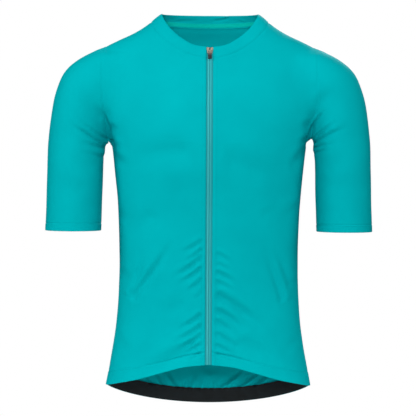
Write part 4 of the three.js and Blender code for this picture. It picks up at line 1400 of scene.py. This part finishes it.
NECK_TAPE_FROM = 95
NECK_TAPE_SHARES = np.linspace(0.06, 0.38, 6)
NECK_TAPE_WALL = 0.75
NECK_TAPE_CROWN = 0.15
tape_turns = neck_all[neck_all > NECK_TAPE_FROM]
tape_p, tape_n = around_neck(tape_turns, NECK_TAPE_SHARES)
tape_near = COLLAR_CLOTH + LAY_GAP / 2 + WANDER * unevenness(tape_p)[..., None]
crown = NECK_TAPE_CROWN * np.array([1, 0.3, 0, 0, 0.3, 1])
neck_tape = shell(
    "neck_tape_knit",
    tape_p - tape_n * tape_near,
    tape_p - tape_n * (tape_near + NECK_TAPE_WALL - crown[None, :, None]),
)
finish_piece(neck_tape, KNIT_INSIDE, "knit", "neck_tape")

# Gripper in the tail, pockets and their elastic

POCKET_HALF_U = 6 / 13
POCKET_BULGE = 1.4
POCKET_LAID = 1.0
POCKET_WALL = 0.8
POCKET_CLEAR = 0.85
GRIPPER_WALL = 0.95
BINDING_ROWS = 10
BINDING_LAID = 2.3
BINDING_WALL = 0.9
BINDING_WAVES = 26


def back_strip(reach, columns, top, bottom, rows):
    """A grid on the back's own surface between two heights, as far as a share of its half width."""
    u = np.linspace(0, reach, columns)
    ring = back_half["on_ring"]
    hem = np.interp(u, back_half["u"], back_half["hem"])
    t = np.arange(rows + 1) / rows
    z = mix(top(hem)[:, None], bottom(hem)[:, None], t[None])
    p = ring(u[:, None], z)
    n = without(outward(p), False, (u == 1)[:, None])
    return both_halves(p, mirrored(p)), both_halves(n, mirrored(n))


grip_p, grip_n = back_strip(1, 105, lambda hem: hem + HEM_BAND, lambda hem: hem + SEAM_GAP, 16)
grip_near = CLOTH + LAY_GAP + 0.2
grip_depth = back_depth(grip_p) + grip_near
gripper = shell(
    "hem_gripper_elastic",
    grip_p - grip_n * grip_depth[..., None],
    grip_p - grip_n * (grip_depth + GRIPPER_WALL)[..., None],
)
finish_piece(gripper, GRIPPER, "gripper", "hem_gripper")

pocket_p, pocket_n = back_strip(
    POCKET_HALF_U, 61, lambda hem: 0 * hem + POCKET_TOP_Z, lambda hem: hem + HEM_BAND + 1, 90
)
across = np.linspace(-1, 1, pocket_p.shape[0])[:, None]
down = np.linspace(0, 1, pocket_p.shape[1])[None]
third = np.abs((across * 1.5 + 0.5) % 1 - 0.5) * 2
bulge = POCKET_BULGE * smooth(third / 0.6) * smooth((1 - down) / 0.3) * smooth(down / 0.25)
stitched = 0.35 * np.exp(-((third / 0.035) ** 2))
behind = back_depth(pocket_p)
pocket_out = LAY_GAP + POCKET_LAID + bulge - stitched - behind * (1 - 0.35 * smooth(down / 0.1))
pocket_out = pocket_out - 0.5 * crease_depth(POCKET_CREASES, pocket_p)
pocket_out = np.maximum(pocket_out, -behind + LAY_GAP + POCKET_CLEAR)
pocket = shell(
    "pocket_panel_cloth",
    pocket_p + pocket_n * pocket_out[..., None],
    pocket_p + pocket_n * (pocket_out - POCKET_WALL)[..., None],
)
finish_piece(pocket, KNIT, "knit", "pocket_panel")

binding_p, binding_n = back_strip(
    POCKET_HALF_U, 121, lambda hem: 0 * hem + POCKET_TOP_Z + 0.6,
    lambda hem: 0 * hem + POCKET_TOP_Z - POCKET_BINDING, BINDING_ROWS,
)
run = np.linspace(-1, 1, binding_p.shape[0])[:, None]
gather = 0.22 * np.sin(2 * math.pi * BINDING_WAVES * run + 0.8 * np.sin(9 * run))
crown = 0.35 * np.sin(math.pi * np.linspace(0, 1, BINDING_ROWS + 1))[None] - 0.2
binding_out = LAY_GAP + BINDING_LAID - back_depth(binding_p) + gather + crown
binding = shell(
    "pocket_binding_elastic",
    binding_p + binding_n * binding_out[..., None],
    binding_p + binding_n * (binding_out - BINDING_WALL - crown)[..., None],
    round_edge=BINDING_ROLL,
    free=np.ones(binding_p.shape[:2], bool),
)
finish_piece(binding, BINDING, "knit", "pocket_binding")

# Zip tapes over a hidden coil

SLIDER_TOP_Z = COLLAR_TOP_FRONT_Z - 0.6
SLIDER_LENGTH = 12
POST_HALF = 1.3
POST_LENGTH = 4
TAPE_TOP_Z = COLLAR_TOP_FRONT_Z - 0.8
TAPE_FACE = COLLAR_CLOTH + LAY_GAP
TAPE_X = np.array([0.15, 0.5, 0.9, 1.4, 1.9, 2.4, 2.9, 3.3, 3.8, 5.0, 6.3, 9.0, 13.5])
COIL_PITCH = 1.45
COIL_HEIGHT = 0.55
COIL_RIBS = 0.07
TAPE_STEP = 0.36
NECK_FOOT_Z = float(neckline(np.array([ZIP_TURN]))[0, 2])


def zip_face(x, z):
    """The cloth's outer face beside the zip and the way out of it, at each distance and height."""
    x, z = np.broadcast_arrays(np.asarray(x, float), np.asarray(z, float))
    p = leave(points(x, 0, z), points(0, -1, 0))
    n = without(outward(p), True, False)
    turn = np.degrees(np.arcsin(np.maximum(TAPE_X, ZIP_HALF) / NECK_HALF))
    up, n_up = collar_column(turn[:, None], np.arange(4)[None] / 3)
    n_up = without(n_up[:, 1:2], True, False)[:, 0]
    above = z > NECK_FOOT_Z
    for j in range(x.shape[0]):
        rows = above[j]
        p[j, rows, 1] = np.interp(z[j, rows], up[j, :, 2], up[j, :, 1])
        n[j, rows] = n_up[j]
    low, high = NECK_FOOT_Z - 6, NECK_FOOT_Z + 0.1
    crossing = (z[0] > low) & (z[0] < high)
    if crossing.any():
        first, last = np.flatnonzero(z[0] <= low)[-1], np.flatnonzero(z[0] >= high)[0]
        t = ((z[0, crossing] - z[0, first]) / (z[0, last] - z[0, first]))[None, :, None]
        p[:, crossing, 1] = mix(p[:, first, None, 1], p[:, last, None, 1], t[..., 0])
        n[:, crossing] = unit(mix(n[:, first, None], n[:, last, None], t))
    return p, n


def zip_tape():
    parted = SLIDER_TOP_Z - POST_LENGTH
    foot = float(front_half["hem"][0])
    z = np.r_[np.arange(foot, parted - 3, TAPE_STEP), parted - 3, parted - 1, TAPE_TOP_Z]
    x = np.broadcast_to(TAPE_X[:, None], (len(TAPE_X), len(z))).copy()
    x[:, z > parted - 2] = np.linspace(POST_HALF + SEAM_GAP, ZIP_TAPE, len(TAPE_X))[:, None]
    p, n = zip_face(x, z[None])
    ridge = np.sin(math.pi * np.clip((TAPE_X - 0.3) / 3.2, 0, 1))[:, None]
    under_slider = smooth((SLIDER_TOP_Z - SLIDER_LENGTH - 1 - z) / 3)[None]
    ribs = COIL_RIBS * np.sin(2 * math.pi * z / COIL_PITCH)[None]
    height = ridge * (COIL_HEIGHT + ribs) * under_slider
    outer = p - n * (TAPE_FACE - height)[..., None]
    inner = p - n * (TAPE_FACE + ZIP_TAPE_WALL - 0.3) * np.ones_like(height)[..., None]
    return outer, inner


tape_outer, tape_inner = zip_tape()


def tape_piece(name, outer, inner, made, node_name):
    piece = shell(name, outer, inner)
    place = piece.data.attributes["knit"].data
    values = np.zeros(len(place) * 3, np.float32)
    place.foreach_get("vector", values)
    values = values.reshape(-1, 3)
    spots = np.zeros(len(place) * 3, np.float32)
    piece.data.vertices.foreach_get("co", spots)
    values[:, 0] = np.abs(spots.reshape(-1, 3)[:, 0]) / MM
    place.foreach_set("vector", values.reshape(-1))
    return finish_piece(piece, made, "zip_tape", node_name)


zip_left = tape_piece("zip_left_weave", tape_outer, tape_inner, TAPE_LEFT_DIM_PAINTED_LIGHT, "zip_tape_left")
zip_right = tape_piece(
    "zip_right_weave", mirrored(tape_outer), mirrored(tape_inner), TAPE_RIGHT_BRIGHT_PAINTED_LIGHT, "zip_tape_right"
)

# Threads


def reach(grid, ways, value, target):
    """Where a value that grows along each row of a grid comes to its target: the points of the
    mesh there and the ways out of it."""
    i = np.clip((value < target[:, None]).sum(axis=1), 1, value.shape[1] - 1)
    row = np.arange(len(value))
    t = ((target - value[row, i - 1]) / (value[row, i] - value[row, i - 1]))[:, None]
    return mix(grid[row, i - 1], grid[row, i], t), unit(mix(ways[row, i - 1], ways[row, i], t))


def above_hem(outer, ways, rise):
    """A line round a panel at a height above its hem's edge."""
    p = outer[:, : HEM_ROWS + 10]
    target = rise(np.abs(p[:, 0, 0]))
    return reach(p, ways[:, : HEM_ROWS + 10], p[..., 2] - p[:, :1, 2], target)


# Two rows on the cuff, measured from its stitched line, and one row at each other edge.
CUFF_ROWS_OF_STITCHES = (-0.9, 1.9)
BELOW_HEM_LINE = 0.8
BELOW_BAND = 1.5
NECK_STITCH_SHARES = (0.1, 0.34)
POCKET_STITCH_COLUMNS = (0, 1, 40, 41, 79, 80, 119, 120)
BINDING_STITCH_ROWS = (2, 8)

zip_lines, hem_lines, cuff_lines = [], [], []
for way in (1, -1):
    panel = front_half if way > 0 else flip_panel(front_half)
    outer = front_outer[way]
    rows = slice(1, panel["neck_row"] - 1)
    p, n = outer[:, rows].swapaxes(0, 1), panel["n"][:, rows].swapaxes(0, 1)
    across = np.abs(p[..., 0])
    zip_lines.append(reach(p, n, across, np.full(len(p), STITCH_FROM_ZIP)))
    p, n = above_hem(outer, panel["n"], lambda x: hem_line(x) - BELOW_HEM_LINE)
    hem_lines.append((p[2:-1], n[2:-1]))
    for above in CUFF_ROWS_OF_STITCHES:
        p, n = sleeve_outer[way][:, ::-1], sleeve_ways[way][:, ::-1]
        up = p[..., 2] - p[:, :1, 2]
        p, n = reach(p, n, up, np.full(len(p), CUFF_STITCH + above))
        cuff_lines.append((np.concatenate([p, p[:1]]), np.concatenate([n, n[:1]])))
zip_stitches = stitches("zip_stitches", zip_lines)
hem_stitches = stitches("front_hem_stitches", hem_lines)
cuff_stitches = stitches("cuff_stitches", cuff_lines)
tail_line = above_hem(back_outer, back_n, lambda x: 0 * x + HEM_BAND - BELOW_BAND)
tail_stitches = stitches("tail_stitches", [tail_line])

neck_lines = []
for share in NECK_STITCH_SHARES:
    p, n = around_neck(tape_turns[2:], [share])
    near = COLLAR_CLOTH + LAY_GAP / 2 + 0.7 + WANDER * unevenness(p[:, 0])
    neck_lines.append((p[:, 0] - n[:, 0] * near[:, None], -n[:, 0]))
neck_stitches = stitches("neck_tape_stitches", neck_lines)

pocket_lines = []
for column in POCKET_STITCH_COLUMNS:
    column = min(column, pocket_p.shape[0] - 1)
    line = pocket_p[column] + pocket_n[column] * pocket_out[column][:, None]
    pocket_lines.append((line[4:], pocket_n[column][4:]))
for row in BINDING_STITCH_ROWS:
    line = binding_p[:, row] + binding_n[:, row] * binding_out[:, row][:, None]
    pocket_lines.append((line, binding_n[:, row]))
pocket_stitches = stitches("pocket_stitches", pocket_lines)

for piece in (zip_stitches, hem_stitches, tail_stitches, cuff_stitches, neck_stitches, pocket_stitches):
    finish_piece(piece, THREAD, "knit")

# Slider and pull tab

nodes = frame["nodes"]
for name, made in (("zip_slider", SLIDER), ("zip_pull_tab", TAB)):
    nodes[name].data.materials.clear()
    nodes[name].data.materials.append(made)
    bevel = nodes[name].modifiers.new("rounded_edges", "BEVEL")
    bevel.width = 0.22 * MM
    bevel.segments = 2
    bevel.angle_limit = math.radians(40)

# Floor, light and camera

FLOOR_Z = -0.76
FLOOR_RADIUS = 0.5
VIEW_MIDDLE_Z = -0.3276
VIEW_MIDDLE_X = -0.0016
CAMERA_DISTANCE = 3.5
CAMERA_AZIMUTH = math.radians(-0.2)
CAMERA_LEAN = math.radians(-0.3)
FRAME_WIDTH = 416 * 1.8 * MM
SENSOR = 36.0
FLOOR_SIDES = 64

# Lights: name, azimuth and elevation in degrees, distance and size in metres, and power.
LIGHTS = (
    ("low", -2, 7.5, 3.4, (1.3, 0.45), 50),
    ("high", -6, 40, 2.4, (1.0, 1.0), 17),
    ("left", -72, 28, 3.0, (1.2, 1.2), 33),
    ("right", 75, 25, 3.0, (1.2, 1.2), 20),
    ("behind", 165, 32, 3.4, (1.5, 1.5), 72),
)
WORLD_STRENGTH = 0.06


def pale_floor():
    """A round pale floor under the jersey, which ends before the main view shows it."""
    mesh = bpy.data.meshes.new("floor")
    turns = 2 * math.pi * np.arange(FLOOR_SIDES) / FLOOR_SIDES
    rim = [(FLOOR_RADIUS * math.cos(a), FLOOR_RADIUS * math.sin(a), FLOOR_Z) for a in turns]
    mesh.from_pydata(rim, [], [tuple(range(FLOOR_SIDES))])
    floor = bpy.data.objects.new("floor", mesh)
    bpy.context.scene.collection.objects.link(floor)
    made, _, shader = material("floor_paper")
    set_inputs(shader, {
        "Base Color": (0.75, 0.75, 0.75, 1),
        "Roughness": 0.9,
        "Specular IOR Level": 0.0,
        "Emission Color": (1, 1, 1, 1),
        "Emission Strength": 0.2,
    })
    mesh.materials.append(made)


def soft_light(name, azimuth, elevation, distance, size, power):
    """An area light that faces the jersey. Azimuth 0 is the camera's side, positive to the right."""
    a, e = math.radians(azimuth), math.radians(elevation)
    way = np.array([math.sin(a) * math.cos(e), -math.cos(a) * math.cos(e), math.sin(e)])
    light = bpy.data.lights.new(name, "AREA")
    light.shape = "RECTANGLE"
    light.size, light.size_y = size
    light.energy = power
    lamp = bpy.data.objects.new(name, light)
    lamp.location = way * distance + np.array([0, 0, VIEW_MIDDLE_Z])
    lamp.rotation_mode = "QUATERNION"
    from_lamp = lamp.location.copy()
    from_lamp.z -= VIEW_MIDDLE_Z
    lamp.rotation_quaternion = from_lamp.to_track_quat("Z", "Y")
    bpy.context.scene.collection.objects.link(lamp)


def studio():
    scene = bpy.context.scene
    scene.view_settings.view_transform = "Standard"
    world = bpy.data.worlds.new("studio")
    scene.world = world
    world.use_nodes = True
    tree = world.node_tree
    shown = tree.nodes["Background"]
    set_inputs(shown, {"Strength": 1.0, "Color": (1, 1, 1, 1)})
    lit = node(tree, "ShaderNodeBackground")
    set_inputs(lit, {"Strength": WORLD_STRENGTH, "Color": (1, 1, 1, 1)})
    path = node(tree, "ShaderNodeLightPath")
    choose = node(tree, "ShaderNodeMixShader")
    tree.links.new(path.outputs["Is Camera Ray"], choose.inputs[0])
    tree.links.new(lit.outputs[0], choose.inputs[1])
    tree.links.new(shown.outputs[0], choose.inputs[2])
    tree.links.new(choose.outputs[0], tree.nodes["World Output"].inputs[0])
    for lamp in LIGHTS:
        soft_light(*lamp)


def add_camera():
    scene = bpy.context.scene
    data = bpy.data.cameras.new("camera")
    data.sensor_width = SENSOR
    data.lens = SENSOR * CAMERA_DISTANCE / FRAME_WIDTH
    data.clip_start, data.clip_end = 0.1, 100
    camera = bpy.data.objects.new("camera", data)
    away = np.array([math.sin(CAMERA_AZIMUTH), -math.cos(CAMERA_AZIMUTH), 0])
    aim = np.array([VIEW_MIDDLE_X, 0, VIEW_MIDDLE_Z])
    camera.location = aim + away * CAMERA_DISTANCE
    camera.rotation_euler = (math.pi / 2, CAMERA_LEAN, CAMERA_AZIMUTH)
    scene.collection.objects.link(camera)
    scene.camera = camera


pale_floor()
studio()
add_camera()

bpy.context.view_layer.update()
